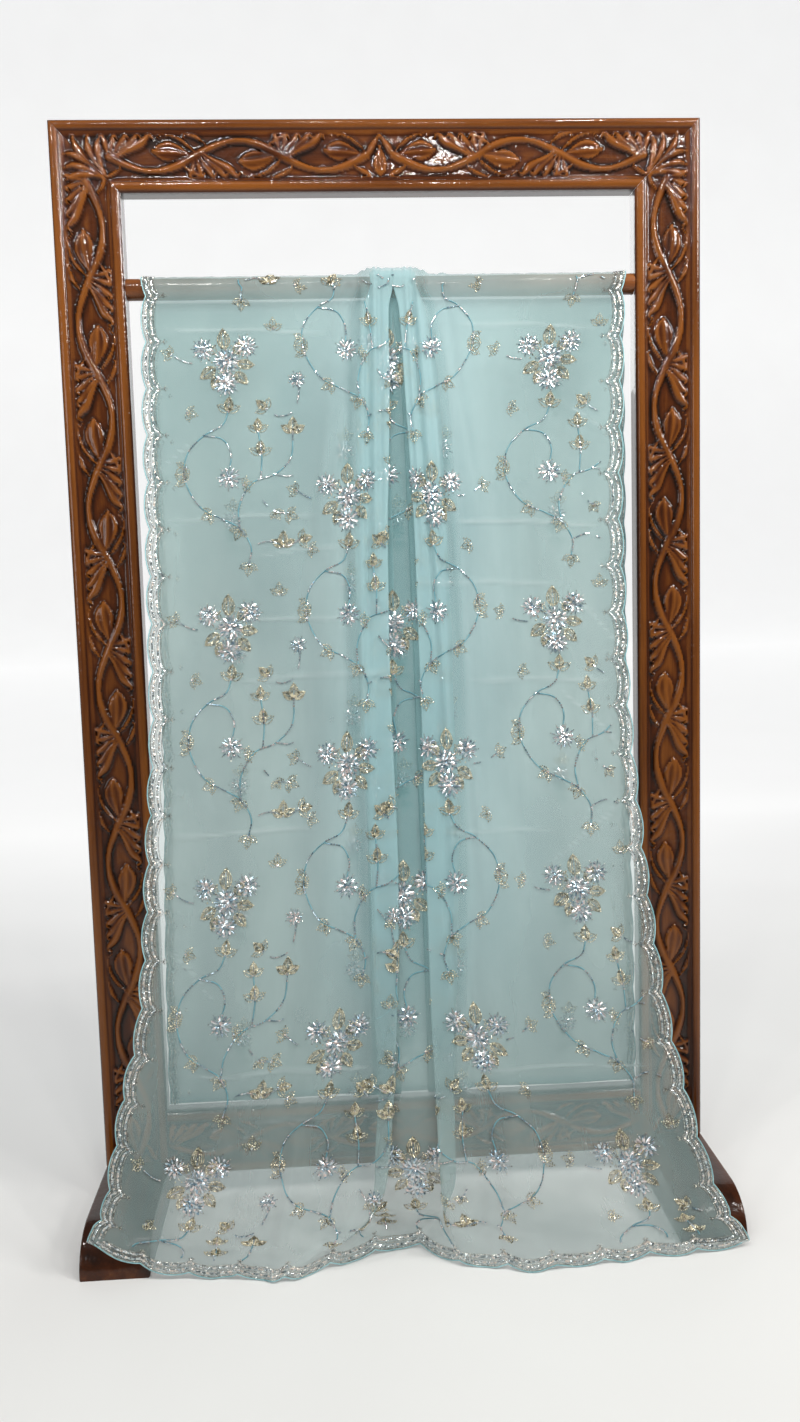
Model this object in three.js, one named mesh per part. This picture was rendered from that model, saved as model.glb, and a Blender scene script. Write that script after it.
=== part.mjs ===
// A silk saree hung over the rod of a free-standing wooden display stand.
// Millimetres. +Z is up, +X runs to the right and -Y towards whoever looks at the decorated end.
// The origin is on the floor, below the middle of the whole object.
import * as THREE from 'three';

// Stand
const STAND_WIDTH = 1220;
const STAND_HEIGHT = 2089;
const STAND_SET_BACK = 29.3; // the frame's plane lies this far behind the origin
const POST_WIDTH = 126;
const RAIL_WIDTH = 129;
const BOTTOM_RAIL_UNDERSIDE = 49;
const FOOT_HEIGHT = 75;
const FOOT_REACH = 293; // from the frame's plane to the toe's tip
const TOE_LENGTH = 85; // the rounded part of it
const TOE_STEPS = 10;
const ROD_RADIUS = 20;
const ROD_HEIGHT = 1790;
const ROD_SIDES = 32;
const SEAM = 0.3; // clearance between pieces that meet

// Half of a frame member's section: the way in from its outer edge, and half its thickness there
const MOULDING = [
  { inwards: 0, half: 20 },
  { inwards: 3, half: 24.5 },
  { inwards: 9, half: 26 },
  { inwards: 15, half: 24.5 },
  { inwards: 19, half: 21 },
  { inwards: 22, half: 19 },
  { inwards: 104, half: 19 },
  { inwards: 108, half: 22.5 },
  { inwards: 114, half: 24 },
  { inwards: 121, half: 22.5 },
  { inwards: 126, half: 18 },
];

// Cloth
const WALL = 1.2;
const SCALLOP_PITCH = 88;
const SCALLOP_DEPTH = 9;
const CORNER_REACH = 13; // how far the hem's corner points stand out
const ROD_CLEARANCE = 0.7;
const LAY_RADIUS = ROD_RADIUS + ROD_CLEARANCE + WALL / 2; // middle of the wall on the rod
const LEAVE_ANGLE = THREE.MathUtils.degToRad(7.5); // where the front leaves the rod, above its axis
const FRONT_SLANT = 236; // how far the front runs forward as a straight slant
const FRONT_SAG = 54; // and how much more because it curves out
const BACK_HEM_CENTRE = 198; // height of the axis that the back folds round
const BACK_HEM_RADIUS = 4.75;
const BACK_END_HEIGHT = 1768; // where the turned-up ply ends, just under the rod
const RAISE_WIDTH = 36; // over which a ply climbs on to the pleats

// The front from the rod (0) to the hem (1). left, right: the side edges. foldLeft, foldRight: where each
// front ply turns under into the centre pleat. plyLeft, plyRight: length of the turned-under ply, and
// turnLeft, turnRight: how far it turns, in degrees, 180 when it is folded flat. radius: of the fold.
// raise: 1 where the pleat stands proud of the cloth beside it, 0 where it sinks behind it.
const FRONT_ROWS = [
  {
    down: 0, left: -446, right: 456, foldLeft: 19, foldRight: 26, plyLeft: 64, plyRight: 64,
    turnLeft: 180, turnRight: 180, radius: 2.6, raise: 1,
  },
  {
    down: 0.12, left: -450, right: 443, foldLeft: 8, foldRight: 32, plyLeft: 61, plyRight: 62,
    turnLeft: 180, turnRight: 180, radius: 2.6, raise: 1,
  },
  {
    down: 0.29, left: -451, right: 430, foldLeft: -13, foldRight: 43, plyLeft: 55, plyRight: 58,
    turnLeft: 180, turnRight: 180, radius: 2.6, raise: 1,
  },
  {
    down: 0.44, left: -452, right: 430, foldLeft: -17, foldRight: 43, plyLeft: 54, plyRight: 57,
    turnLeft: 180, turnRight: 180, radius: 2.6, raise: 1,
  },
  {
    down: 0.59, left: -466, right: 442, foldLeft: -15, foldRight: 41, plyLeft: 49, plyRight: 54,
    turnLeft: 180, turnRight: 180, radius: 2.6, raise: 1,
  },
  {
    down: 0.75, left: -486, right: 466, foldLeft: -27, foldRight: 39, plyLeft: 38, plyRight: 43,
    turnLeft: 180, turnRight: 180, radius: 2.6, raise: 1,
  },
  {
    down: 0.85, left: -522, right: 498, foldLeft: -42, foldRight: 42, plyLeft: 21, plyRight: 28,
    turnLeft: 180, turnRight: 180, radius: 3, raise: 0.9,
  },
  {
    down: 0.92, left: -543, right: 530, foldLeft: -62, foldRight: 47, plyLeft: 22, plyRight: 24,
    turnLeft: 138, turnRight: 160, radius: 6, raise: 0.5,
  },
  {
    down: 0.96, left: -556, right: 556, foldLeft: -105, foldRight: 58, plyLeft: 44, plyRight: 26,
    turnLeft: 74, turnRight: 98, radius: 10, raise: 0.15,
  },
  {
    down: 1, left: -578, right: 592, foldLeft: -225, foldRight: 84, plyLeft: 186, plyRight: 84,
    turnLeft: 20, turnRight: 42, radius: 22, raise: 0,
  },
];

// The back from the rod (0) to its folded bottom edge (1), with the same columns
const BACK_ROWS = [
  {
    down: 0, left: -446, right: 464, foldLeft: 19, foldRight: 26, plyLeft: 62, plyRight: 62,
    turnLeft: 180, turnRight: 180, radius: 2.6, raise: 1,
  },
  {
    down: 0.4, left: -452, right: 466, foldLeft: 2, foldRight: 42, plyLeft: 57, plyRight: 59,
    turnLeft: 180, turnRight: 180, radius: 2.6, raise: 1,
  },
  {
    down: 1, left: -464, right: 468, foldLeft: -12, foldRight: 50, plyLeft: 52, plyRight: 55,
    turnLeft: 180, turnRight: 180, radius: 2.6, raise: 1,
  },
];

// The hem on the floor: forward, how far it lies in front of the frame, and lift, its height there
const HEM_ROWS = [
  { x: -620, forward: 299, lift: 72 },
  { x: -578, forward: 299, lift: 62 },
  { x: -530, forward: 300, lift: 38 },
  { x: -470, forward: 301, lift: 12 },
  { x: -400, forward: 306, lift: 2 },
  { x: -242, forward: 321, lift: 0 },
  { x: -60, forward: 318, lift: 0 },
  { x: 70, forward: 320, lift: 0 },
  { x: 230, forward: 342, lift: 0 },
  { x: 450, forward: 331, lift: 0 },
  { x: 620, forward: 314, lift: 1 },
];
const HEM_CLEARANCE = 0.8; // under the lowest scallop
const HEM_BEND = 3; // power by which the hem's own line grows down the front

// Soft folds: where each starts and ends on the way down and across, its half width, and its height.
// A height above 0 is a ridge towards the outside, and one below 0 is a trough.
const FRONT_FOLDS = [
  { from: 0.02, to: 0.8, startX: -92, endX: -150, half: 36, height: 9 },
  { from: 0.03, to: 0.95, startX: -160, endX: -232, half: 42, height: -9 },
  { from: 0.08, to: 1.1, startX: -255, endX: -352, half: 52, height: 8 },
  { from: 0.05, to: 0.85, startX: -372, endX: -430, half: 42, height: -6 },
  { from: 0.6, to: 1.2, startX: -130, endX: -290, half: 40, height: 11 },
  { from: 0.02, to: 0.85, startX: 140, endX: 168, half: 34, height: 10 },
  { from: 0.03, to: 0.9, startX: 205, endX: 262, half: 42, height: -9 },
  { from: 0.06, to: 1.1, startX: 300, endX: 392, half: 50, height: 8 },
  { from: 0.1, to: 0.9, startX: 385, endX: 440, half: 38, height: -6 },
  { from: 0.62, to: 1.2, startX: 120, endX: 232, half: 38, height: 10 },
  { from: 0.75, to: 1.25, startX: 330, endX: 500, half: 44, height: -9 },
];
const BACK_FOLDS = [
  { from: 0.03, to: 1.3, startX: -110, endX: -150, half: 40, height: 5 },
  { from: 0.1, to: 1.2, startX: -260, endX: -300, half: 52, height: -4 },
  { from: 0.06, to: 1.3, startX: 165, endX: 190, half: 42, height: 5 },
  { from: 0.08, to: 1.2, startX: 310, endX: 345, half: 54, height: -4 },
];

// Steps of the meshes
const SIDE_STEPS = 12; // across each ply beside the pleat
const ARC_STEPS = 4; // round each fold
const PLY_STEPS = 2;
const RECESS_STEPS = 3;
const FRONT_STEPS = [{ to: 0.6, step: 0.06 }, { to: 0.84, step: 0.04 }, { to: 1, step: 0.02 }];
const TURN_STEPS = 9;
const BACK_STEPS = [{ to: 0.16, step: 0.08 }, { to: 1, step: 0.105 }];
const BACK_HEM_STEPS = 4;
const FRONT_LOBE_STEPS = 4;
const BACK_LOBE_STEPS = 3;
const LEAST_EDGE = 3; // a lobe's step this close to a point of the line is left out

// Colours
const WOOD = { color: 0x673d1d, roughness: 0.28, metalness: 0 };
const CLOTH = { color: 0xa4bcb9, roughness: 0.55, metalness: 0 };

const smooth = (value) => THREE.MathUtils.smoothstep(value, 0, 1);

/** Slope of one column of a table at a row: level at a peak, so that nothing overshoots. */
function tableSlope(rows, key, column, index) {
  const before = rows[index - 1];
  const here = rows[index];
  const after = rows[index + 1];
  if (!before || !after) return 0;
  const rising = (here[column] - before[column]) / (here[key] - before[key]);
  const leaving = (after[column] - here[column]) / (after[key] - here[key]);
  return rising * leaving <= 0 ? 0 : (2 * rising * leaving) / (rising + leaving);
}

/** Every column of a table, read smoothly at a place between its rows. */
function readTable(rows, key, at) {
  const last = rows.length - 1;
  let index = 0;
  while (index < last - 1 && at > rows[index + 1][key]) index += 1;
  const low = rows[index];
  const high = rows[index + 1];
  const span = high[key] - low[key];
  const t = THREE.MathUtils.clamp((at - low[key]) / span, 0, 1);
  const row = {};
  for (const column of Object.keys(low)) {
    const fromSlope = tableSlope(rows, key, column, index) * span;
    const toSlope = tableSlope(rows, key, column, index + 1) * span;
    row[column] = low[column] * (1 + 2 * t) * (1 - t) ** 2 + high[column] * t * t * (3 - 2 * t)
      + fromSlope * t * (1 - t) ** 2 + toSlope * t * t * (t - 1);
  }
  return row;
}

/** Places from 0 to 1 with the steps that a table gives. */
function stations(steps) {
  const places = [0];
  let from = 0;
  for (const { to, step } of steps) {
    const count = Math.round((to - from) / step);
    for (let k = 1; k <= count; k += 1) places.push(from + ((to - from) * k) / count);
    from = to;
  }
  return places;
}

/** One fold seen from above: a bend, a straight ply and a bend back, from its outer end to its inner end. */
function foldPath(turn, length, radius) {
  const path = [];
  for (let k = 1; k <= ARC_STEPS; k += 1) {
    const heading = (turn * k) / ARC_STEPS;
    path.push({ along: radius * Math.sin(heading), back: radius * (1 - Math.cos(heading)) });
  }
  const bend = path[path.length - 1];
  for (let k = 1; k <= PLY_STEPS; k += 1) {
    const part = (length * k) / PLY_STEPS;
    path.push({ along: bend.along + part * Math.cos(turn), back: bend.back + part * Math.sin(turn) });
  }
  const ply = path[path.length - 1];
  for (let k = 1; k <= ARC_STEPS; k += 1) {
    const heading = turn * (1 - k / ARC_STEPS);
    path.push({
      along: ply.along + radius * (Math.sin(turn) - Math.sin(heading)),
      back: ply.back + radius * (Math.cos(heading) - Math.cos(turn)),
    });
  }
  return path;
}

/** The cloth's line across at one height: x, and out, how far it stands out from the flat cloth. */
function clothSection(row) {
  const left = foldPath(THREE.MathUtils.degToRad(row.turnLeft), row.plyLeft, row.radius);
  const right = foldPath(THREE.MathUtils.degToRad(row.turnRight), row.plyRight, row.radius);
  const leftEnd = left[left.length - 1];
  const rightEnd = right[right.length - 1];
  const innerLeft = row.foldLeft + leftEnd.along;
  const innerRight = row.foldRight - rightEnd.along;
  const section = [];
  for (let k = 0; k <= SIDE_STEPS; k += 1) {
    const x = THREE.MathUtils.lerp(row.left, row.foldLeft, k / SIDE_STEPS);
    const climb = smooth((x - (Math.min(innerLeft, row.foldLeft) - RAISE_WIDTH)) / RAISE_WIDTH);
    section.push({ x, out: row.raise * leftEnd.back * climb });
  }
  for (const { along, back } of left) {
    section.push({ x: row.foldLeft + along, out: row.raise * leftEnd.back - back });
  }
  for (let k = 1; k < RECESS_STEPS; k += 1) {
    const part = k / RECESS_STEPS;
    const depth = THREE.MathUtils.lerp(leftEnd.back, rightEnd.back, part);
    section.push({ x: THREE.MathUtils.lerp(innerLeft, innerRight, part), out: (row.raise - 1) * depth });
  }
  for (const { along, back } of right.reverse()) {
    section.push({ x: row.foldRight - along, out: row.raise * rightEnd.back - back });
  }
  for (let k = 0; k <= SIDE_STEPS; k += 1) {
    const x = THREE.MathUtils.lerp(row.foldRight, row.right, k / SIDE_STEPS);
    const climb = smooth((Math.max(innerRight, row.foldRight) + RAISE_WIDTH - x) / RAISE_WIDTH);
    section.push({ x, out: row.raise * rightEnd.back * climb });
  }
  return section;
}

/** How far the soft folds of a table move the cloth outwards at a place. */
function softFolds(folds, x, down) {
  let out = 0;
  for (const fold of folds) {
    const part = (down - fold.from) / (fold.to - fold.from);
    if (part <= 0 || part >= 1) continue;
    const middle = THREE.MathUtils.lerp(fold.startX, fold.endX, part);
    const reach = Math.abs(x - middle) / (fold.half * 1.6);
    if (reach >= 1) continue;
    out += fold.height * (1 - smooth(reach)) * smooth(Math.min(part, 1 - part) / 0.25);
  }
  return out;
}

/** A point of the front. The section at the rod gives the height at which this part of it starts. */
function frontPoint({ x, out }, outAtRod, down) {
  const hem = readTable(HEM_ROWS, 'x', x);
  const start = LAY_RADIUS * Math.cos(LEAVE_ANGLE) + SEAM * Math.sin(LEAVE_ANGLE);
  const fall = FRONT_SLANT * down + FRONT_SAG * down * down;
  const hemFall = hem.forward - (start + FRONT_SLANT + FRONT_SAG);
  const top = ROD_HEIGHT + (LAY_RADIUS + outAtRod) * Math.sin(LEAVE_ANGLE) - SEAM * Math.cos(LEAVE_ANGLE);
  const bottom = hem.lift + HEM_CLEARANCE + SCALLOP_DEPTH + WALL / 2;
  const forward = start + fall + hemFall * down ** HEM_BEND + out + softFolds(FRONT_FOLDS, x, down);
  return new THREE.Vector3(x, -forward, THREE.MathUtils.lerp(top, bottom, down));
}

/** Rows of points down the front, each from the left edge to the right one. */
function frontGrid() {
  const rodSection = clothSection(FRONT_ROWS[0]);
  return stations(FRONT_STEPS).map((down) => clothSection(readTable(FRONT_ROWS, 'down', down))
    .map((place, column) => frontPoint(place, rodSection[column].out, down)));
}

/** Rows of points over the rod, from the front to the back. */
function turnGrid() {
  const front = clothSection(FRONT_ROWS[0]);
  const back = clothSection(BACK_ROWS[0]);
  const grid = [];
  for (let k = 0; k <= TURN_STEPS; k += 1) {
    const part = k / TURN_STEPS;
    const angle = THREE.MathUtils.lerp(LEAVE_ANGLE, Math.PI, part);
    grid.push(front.map((place, column) => {
      const x = THREE.MathUtils.lerp(place.x, back[column].x, part);
      const radius = LAY_RADIUS + THREE.MathUtils.lerp(place.out, back[column].out, part);
      return new THREE.Vector3(x, -radius * Math.cos(angle), ROD_HEIGHT + radius * Math.sin(angle));
    }));
  }
  return grid;
}

/** Rows of points down the back, round its bottom fold and up again to just under the rod. */
function backGrid() {
  const top = ROD_HEIGHT - SEAM;
  const axis = LAY_RADIUS - BACK_HEM_RADIUS;
  const places = stations(BACK_STEPS);
  const sections = places.map((down) => clothSection(readTable(BACK_ROWS, 'down', down)));
  const grid = places.map((down, row) => sections[row].map(({ x, out }) => new THREE.Vector3(
    x,
    axis + BACK_HEM_RADIUS + out + softFolds(BACK_FOLDS, x, down),
    THREE.MathUtils.lerp(top, BACK_HEM_CENTRE, down),
  )));
  for (let k = 1; k < BACK_HEM_STEPS; k += 1) {
    const angle = (Math.PI * k) / BACK_HEM_STEPS;
    grid.push(sections[sections.length - 1].map(({ x, out }) => new THREE.Vector3(
      x,
      axis + (BACK_HEM_RADIUS + out) * Math.cos(angle) + softFolds(BACK_FOLDS, x, 1),
      BACK_HEM_CENTRE - (BACK_HEM_RADIUS + out) * Math.sin(angle),
    )));
  }
  for (let row = places.length - 1; row >= 0; row -= 1) {
    grid.push(sections[row].map(({ x, out }) => new THREE.Vector3(
      x,
      axis - BACK_HEM_RADIUS - out + softFolds(BACK_FOLDS, x, places[row]),
      THREE.MathUtils.lerp(BACK_END_HEIGHT, BACK_HEM_CENTRE, places[row]),
    )));
  }
  return grid;
}

/** Unit normals of a grid of points. */
function gridNormals(grid) {
  const lastRow = grid.length - 1;
  const lastColumn = grid[0].length - 1;
  return grid.map((row, j) => row.map((_, i) => {
    const down = grid[Math.min(j + 1, lastRow)][i].clone().sub(grid[Math.max(j - 1, 0)][i]);
    const across = row[Math.min(i + 1, lastColumn)].clone().sub(row[Math.max(i - 1, 0)]);
    return down.cross(across).normalize();
  }));
}

/** Points along an edge, moved out into round lobes that meet in cusps. It keeps the line's own points. */
function scallopedEdge(line, lobeSteps) {
  const lengths = [0];
  for (let k = 1; k < line.length; k += 1) {
    lengths.push(lengths[k - 1] + line[k].point.distanceTo(line[k - 1].point));
  }
  const whole = lengths[lengths.length - 1];
  const lobes = Math.max(1, Math.round(whole / SCALLOP_PITCH));
  const samples = Array.from({ length: lobes * lobeSteps - 1 }, (_, k) => (whole * (k + 1)) / (lobes * lobeSteps))
    .filter((sample) => lengths.every((length) => Math.abs(length - sample) > LEAST_EDGE));
  let index = 0;
  return [...lengths, ...samples].sort((a, b) => a - b).map((length) => {
    while (index < line.length - 2 && length > lengths[index + 1]) index += 1;
    const part = (length - lengths[index]) / (lengths[index + 1] - lengths[index]);
    const low = line[index];
    const high = line[index + 1];
    const bulge = SCALLOP_DEPTH * Math.abs(Math.sin((Math.PI * lobes * length) / whole)) ** 0.8;
    const outwards = low.outwards.clone().lerp(high.outwards, part).normalize();
    return {
      at: index + part,
      point: low.point.clone().lerp(high.point, part).addScaledVector(outwards, bulge),
      normal: low.normal.clone().lerp(high.normal, part).normalize(),
    };
  });
}

/** A closed wall of the cloth's thickness on a grid, with scalloped sides and, if asked, a scalloped hem. */
function clothWall(grid, lobeSteps, withHem) {
  const normals = gridNormals(grid);
  const lastRow = grid.length - 1;
  const lastColumn = grid[0].length - 1;
  const innerRow = withHem ? lastRow - 1 : lastRow;
  const vertices = [];
  const triangles = [];
  const add = (point, normal) => vertices.push({ point, normal }) - 1;
  const away = (from, to) => to.clone().sub(from).normalize();
  const ids = [];
  for (let j = 0; j <= innerRow; j += 1) {
    ids.push(grid[j].map((point, i) => (i > 0 && i < lastColumn ? add(point, normals[j][i]) : -1)));
  }
  for (let j = 0; j < innerRow; j += 1) {
    for (let i = 1; i < lastColumn - 1; i += 1) {
      const [a, b, c, d] = [ids[j][i], ids[j + 1][i], ids[j + 1][i + 1], ids[j][i + 1]];
      triangles.push([a, b, c], [a, c, d]);
    }
  }
  const side = (column, beside) => scallopedEdge(grid.map((row, j) => ({
    point: row[column], normal: normals[j][column], outwards: away(row[beside], row[column]),
  })), lobeSteps);
  const leftEdge = side(0, 1);
  const rightEdge = side(lastColumn, lastColumn - 1);
  const toHem = lastRow;
  const toRight = lastRow + lastColumn;

  /** Fills the strip between an outer and an inner line of vertices that run side by side. */
  const fillStrip = (outer, inner) => {
    let o = 0;
    let i = 0;
    while (o < outer.length - 1 || i < inner.length - 1) {
      const outerFirst = i === inner.length - 1 || (o < outer.length - 1
        && outer[o + 1].at - inner[i].at <= inner[i + 1].at - outer[o].at);
      if (outerFirst) {
        triangles.push([outer[o].id, outer[o + 1].id, inner[i].id]);
        o += 1;
      } else {
        triangles.push([outer[o].id, inner[i + 1].id, inner[i].id]);
        i += 1;
      }
    }
  };
  const place = (edge, round) => edge.map(({ point, normal, at }) => ({ id: add(point, normal), at: round(at) }));
  const down = (at) => at;
  const alongHem = (at) => toHem + at;
  const up = (at) => toRight + lastRow - at;
  const leftInner = ids.map((row, j) => ({ id: row[1], at: j }));
  const rightInner = ids.map((row, j) => ({ id: row[lastColumn - 1], at: up(j) })).reverse();
  if (withHem) {
    const hemEdge = scallopedEdge(grid[lastRow].map((point, i) => ({
      point, normal: normals[lastRow][i], outwards: away(grid[lastRow - 1][i], point),
    })), lobeSteps);
    for (const [edge, sideways] of [[leftEdge, -1], [rightEdge, 1]]) {
      edge[edge.length - 1].point.add(new THREE.Vector3(sideways * CORNER_REACH, 0, -CORNER_REACH / 3));
    }
    const outer = [
      ...place(leftEdge, down),
      ...place(hemEdge.slice(1, -1), alongHem),
      ...place(rightEdge.reverse(), up),
    ];
    const hemInner = ids[innerRow].slice(2, lastColumn - 1).map((id, i) => ({ id, at: toHem + i + 2 }));
    leftInner[innerRow].at = toHem;
    rightInner[0].at = toRight;
    fillStrip(outer, [...leftInner, ...hemInner, ...rightInner]);
  } else {
    fillStrip(place(leftEdge, down), leftInner);
    fillStrip(place(rightEdge.reverse(), up), rightInner);
  }
  return thicken(vertices, triangles);
}

/** The solid between a surface moved out and the same surface moved in by half the wall. */
function thicken(vertices, triangles) {
  const count = vertices.length;
  const points = [WALL / 2, -WALL / 2].flatMap((distance) => vertices
    .map(({ point, normal }) => point.clone().addScaledVector(normal, distance)));
  const faces = [];
  const edges = new Map();
  for (const [a, b, c] of triangles) {
    faces.push([a, b, c], [a + count, c + count, b + count]);
    for (const [from, to] of [[a, b], [b, c], [c, a]]) {
      if (!edges.delete(`${to} ${from}`)) edges.set(`${from} ${to}`, [from, to]);
    }
  }
  for (const [from, to] of edges.values()) {
    faces.push([to, from, from + count], [to, from + count, to + count]);
  }
  return closedBody(points, faces);
}

/** A geometry from points and triangles, turned so that its faces point out. */
function closedBody(points, faces) {
  const volume = faces.reduce((sum, [a, b, c]) => sum
    + points[a].dot(points[b].clone().cross(points[c])), 0);
  const turned = volume < 0 ? faces.map(([a, b, c]) => [a, c, b]) : faces;
  const geometry = new THREE.BufferGeometry();
  geometry.setAttribute('position', new THREE.Float32BufferAttribute(points.flatMap((p) => p.toArray()), 3));
  geometry.setIndex(turned.flat());
  geometry.computeVertexNormals();
  return geometry;
}

/** A frame member with the moulded section. place gives the point at its start (0) or end (1). */
function frameMember(width, place) {
  const scale = width / POST_WIDTH;
  const front = MOULDING.map(({ inwards, half }) => new THREE.Vector2(inwards * scale, -half));
  const back = MOULDING.map(({ inwards, half }) => new THREE.Vector2(inwards * scale, half)).reverse();
  const ring = [...front, ...back];
  const points = [0, 1].flatMap((end) => ring.map(({ x, y }) => place(x, y, end)));
  const faces = [];
  for (const [a, b, c] of THREE.ShapeUtils.triangulateShape(ring, [])) {
    faces.push([a, c, b], [a + ring.length, b + ring.length, c + ring.length]);
  }
  ring.forEach((_, k) => {
    const next = (k + 1) % ring.length;
    faces.push([k, next, next + ring.length], [k, next + ring.length, k + ring.length]);
  });
  return closedBody(points, faces);
}

/** A post: from its foot up to the mitre. side is -1 on the left and 1 on the right. */
function post(side) {
  return frameMember(POST_WIDTH, (inwards, depth, end) => new THREE.Vector3(
    side * (STAND_WIDTH / 2 - inwards),
    depth,
    end ? STAND_HEIGHT - (inwards * RAIL_WIDTH) / POST_WIDTH - SEAM : FOOT_HEIGHT + SEAM,
  ));
}

/** The top rail, mitred at both ends. */
function topRail() {
  return frameMember(RAIL_WIDTH, (inwards, depth, end) => new THREE.Vector3(
    (end ? 1 : -1) * (STAND_WIDTH / 2 - (inwards * POST_WIDTH) / RAIL_WIDTH - SEAM),
    depth,
    STAND_HEIGHT - inwards,
  ));
}

/** The bottom rail, square between the posts, its outer edge down. */
function bottomRail() {
  return frameMember(RAIL_WIDTH, (inwards, depth, end) => new THREE.Vector3(
    (end ? 1 : -1) * (STAND_WIDTH / 2 - POST_WIDTH - SEAM),
    depth,
    BOTTOM_RAIL_UNDERSIDE + inwards,
  ));
}

/** A foot: a flat runner with a rounded toe in front and behind, as wide as a post. */
function foot() {
  const outline = new THREE.Shape();
  const flat = FOOT_REACH - TOE_LENGTH;
  outline.moveTo(-FOOT_REACH, 0);
  outline.lineTo(FOOT_REACH, 0);
  outline.absellipse(flat, 0, TOE_LENGTH, FOOT_HEIGHT, 0, Math.PI / 2, false);
  outline.absellipse(-flat, 0, TOE_LENGTH, FOOT_HEIGHT, Math.PI / 2, Math.PI, false);
  const runner = new THREE.ExtrudeGeometry(outline, {
    depth: POST_WIDTH, bevelEnabled: false, curveSegments: TOE_STEPS,
  });
  runner.translate(0, 0, -POST_WIDTH / 2);
  const frontToY = new THREE.Matrix4().makeBasis(
    new THREE.Vector3(0, 1, 0),
    new THREE.Vector3(0, 0, 1),
    new THREE.Vector3(1, 0, 0),
  );
  return runner.applyMatrix4(frontToY);
}

/** The round rod between the posts' inner faces. */
function hangingRod() {
  const length = STAND_WIDTH - 2 * (POST_WIDTH + SEAM);
  return new THREE.CylinderGeometry(ROD_RADIUS, ROD_RADIUS, length, ROD_SIDES).rotateZ(Math.PI / 2);
}

/** A named mesh with a material of its own, at a place in the frame's plane. */
function piece(name, geometry, finish, x = 0, z = 0) {
  const mesh = new THREE.Mesh(geometry, new THREE.MeshStandardMaterial(finish));
  mesh.name = name;
  mesh.position.set(x, 0, z);
  return mesh;
}

const footX = STAND_WIDTH / 2 - POST_WIDTH / 2;
const stand = new THREE.Group();
stand.add(
  piece('foot_left', foot(), WOOD, -footX),
  piece('foot_right', foot(), WOOD, footX),
  piece('post_left', post(-1), WOOD),
  piece('post_right', post(1), WOOD),
  piece('top_rail', topRail(), WOOD),
  piece('bottom_rail', bottomRail(), WOOD),
  piece('hanging_rod', hangingRod(), WOOD, 0, ROD_HEIGHT),
);

const saree = new THREE.Group();
saree.add(
  piece('front_fall', clothWall(frontGrid(), FRONT_LOBE_STEPS, true), CLOTH),
  piece('rod_turn', clothWall(turnGrid(), FRONT_LOBE_STEPS, false), CLOTH),
  piece('back_fall', clothWall(backGrid(), BACK_LOBE_STEPS, false), CLOTH),
);

const sareeOnStand = new THREE.Group();
sareeOnStand.position.y = STAND_SET_BACK;
sareeOnStand.add(stand, saree);

export default sareeOnStand;
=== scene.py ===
import logging
import math
from dataclasses import dataclass, field
from enum import Enum
from typing import Callable, Sequence

import bpy
import numpy as np
from mathutils import Matrix, Vector


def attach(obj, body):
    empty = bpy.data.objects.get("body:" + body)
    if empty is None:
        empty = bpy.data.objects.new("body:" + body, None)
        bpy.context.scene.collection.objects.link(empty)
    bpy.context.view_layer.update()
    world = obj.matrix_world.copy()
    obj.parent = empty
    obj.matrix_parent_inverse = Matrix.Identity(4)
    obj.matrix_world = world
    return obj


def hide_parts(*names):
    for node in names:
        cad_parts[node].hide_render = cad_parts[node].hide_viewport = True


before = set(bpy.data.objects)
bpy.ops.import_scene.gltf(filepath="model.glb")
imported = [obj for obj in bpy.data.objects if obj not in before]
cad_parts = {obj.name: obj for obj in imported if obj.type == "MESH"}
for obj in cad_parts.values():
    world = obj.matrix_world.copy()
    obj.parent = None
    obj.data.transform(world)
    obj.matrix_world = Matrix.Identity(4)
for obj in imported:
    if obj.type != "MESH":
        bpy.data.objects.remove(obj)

LOG = logging.getLogger("saree")
MM = 0.001
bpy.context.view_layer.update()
BODY = "root"
STAND_SET_BACK = 0.0293
# The height of the rod's middle, and the gap left where two pieces meet
ROD_HEIGHT = 1.790
SEAM = 0.0003
Array = np.ndarray
Socket = bpy.types.NodeSocket
Finish = bpy.types.Material
Mesh = bpy.types.Mesh
Piece = bpy.types.Object


class Slot(Enum):
    """The record's material slots."""

    SILK = "silk"
    WOOD = "carved_wood"
    SEQUIN = "sequin"
    BEAD = "bead"
    THREAD = "thread"


class Grain(Enum):
    """The axis that the wood's grain runs along."""

    ACROSS = 0
    DEEP = 1
    UP = 2


def smooth(value: Array) -> Array:
    """A step from 0 to 1 that starts and ends level."""
    part = np.clip(value, 0, 1)
    return part * part * (3 - 2 * part)


def bell(value: Array) -> Array:
    """A soft hump that is 1 at 0 and dies away on both sides."""
    return np.exp(-(value**2))


def unit_length(ways: Array) -> Array:
    """The same directions, each one long."""
    return ways / np.linalg.norm(ways, axis=-1, keepdims=True)


def colour(code: str) -> tuple[float, float, float, float]:
    """The linear colour of a six-digit sRGB code.

    Args:
        code: Red, green and blue as six hexadecimal digits.

    Returns:
        Linear red, green, blue and alpha 1.
    """
    parts = [int(code[k:k + 2], 16) / 255 for k in (0, 2, 4)]
    linear = [c / 12.92 if c <= 0.04045 else ((c + 0.055) / 1.055) ** 2.4 for c in parts]
    return (linear[0], linear[1], linear[2], 1.0)


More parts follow.
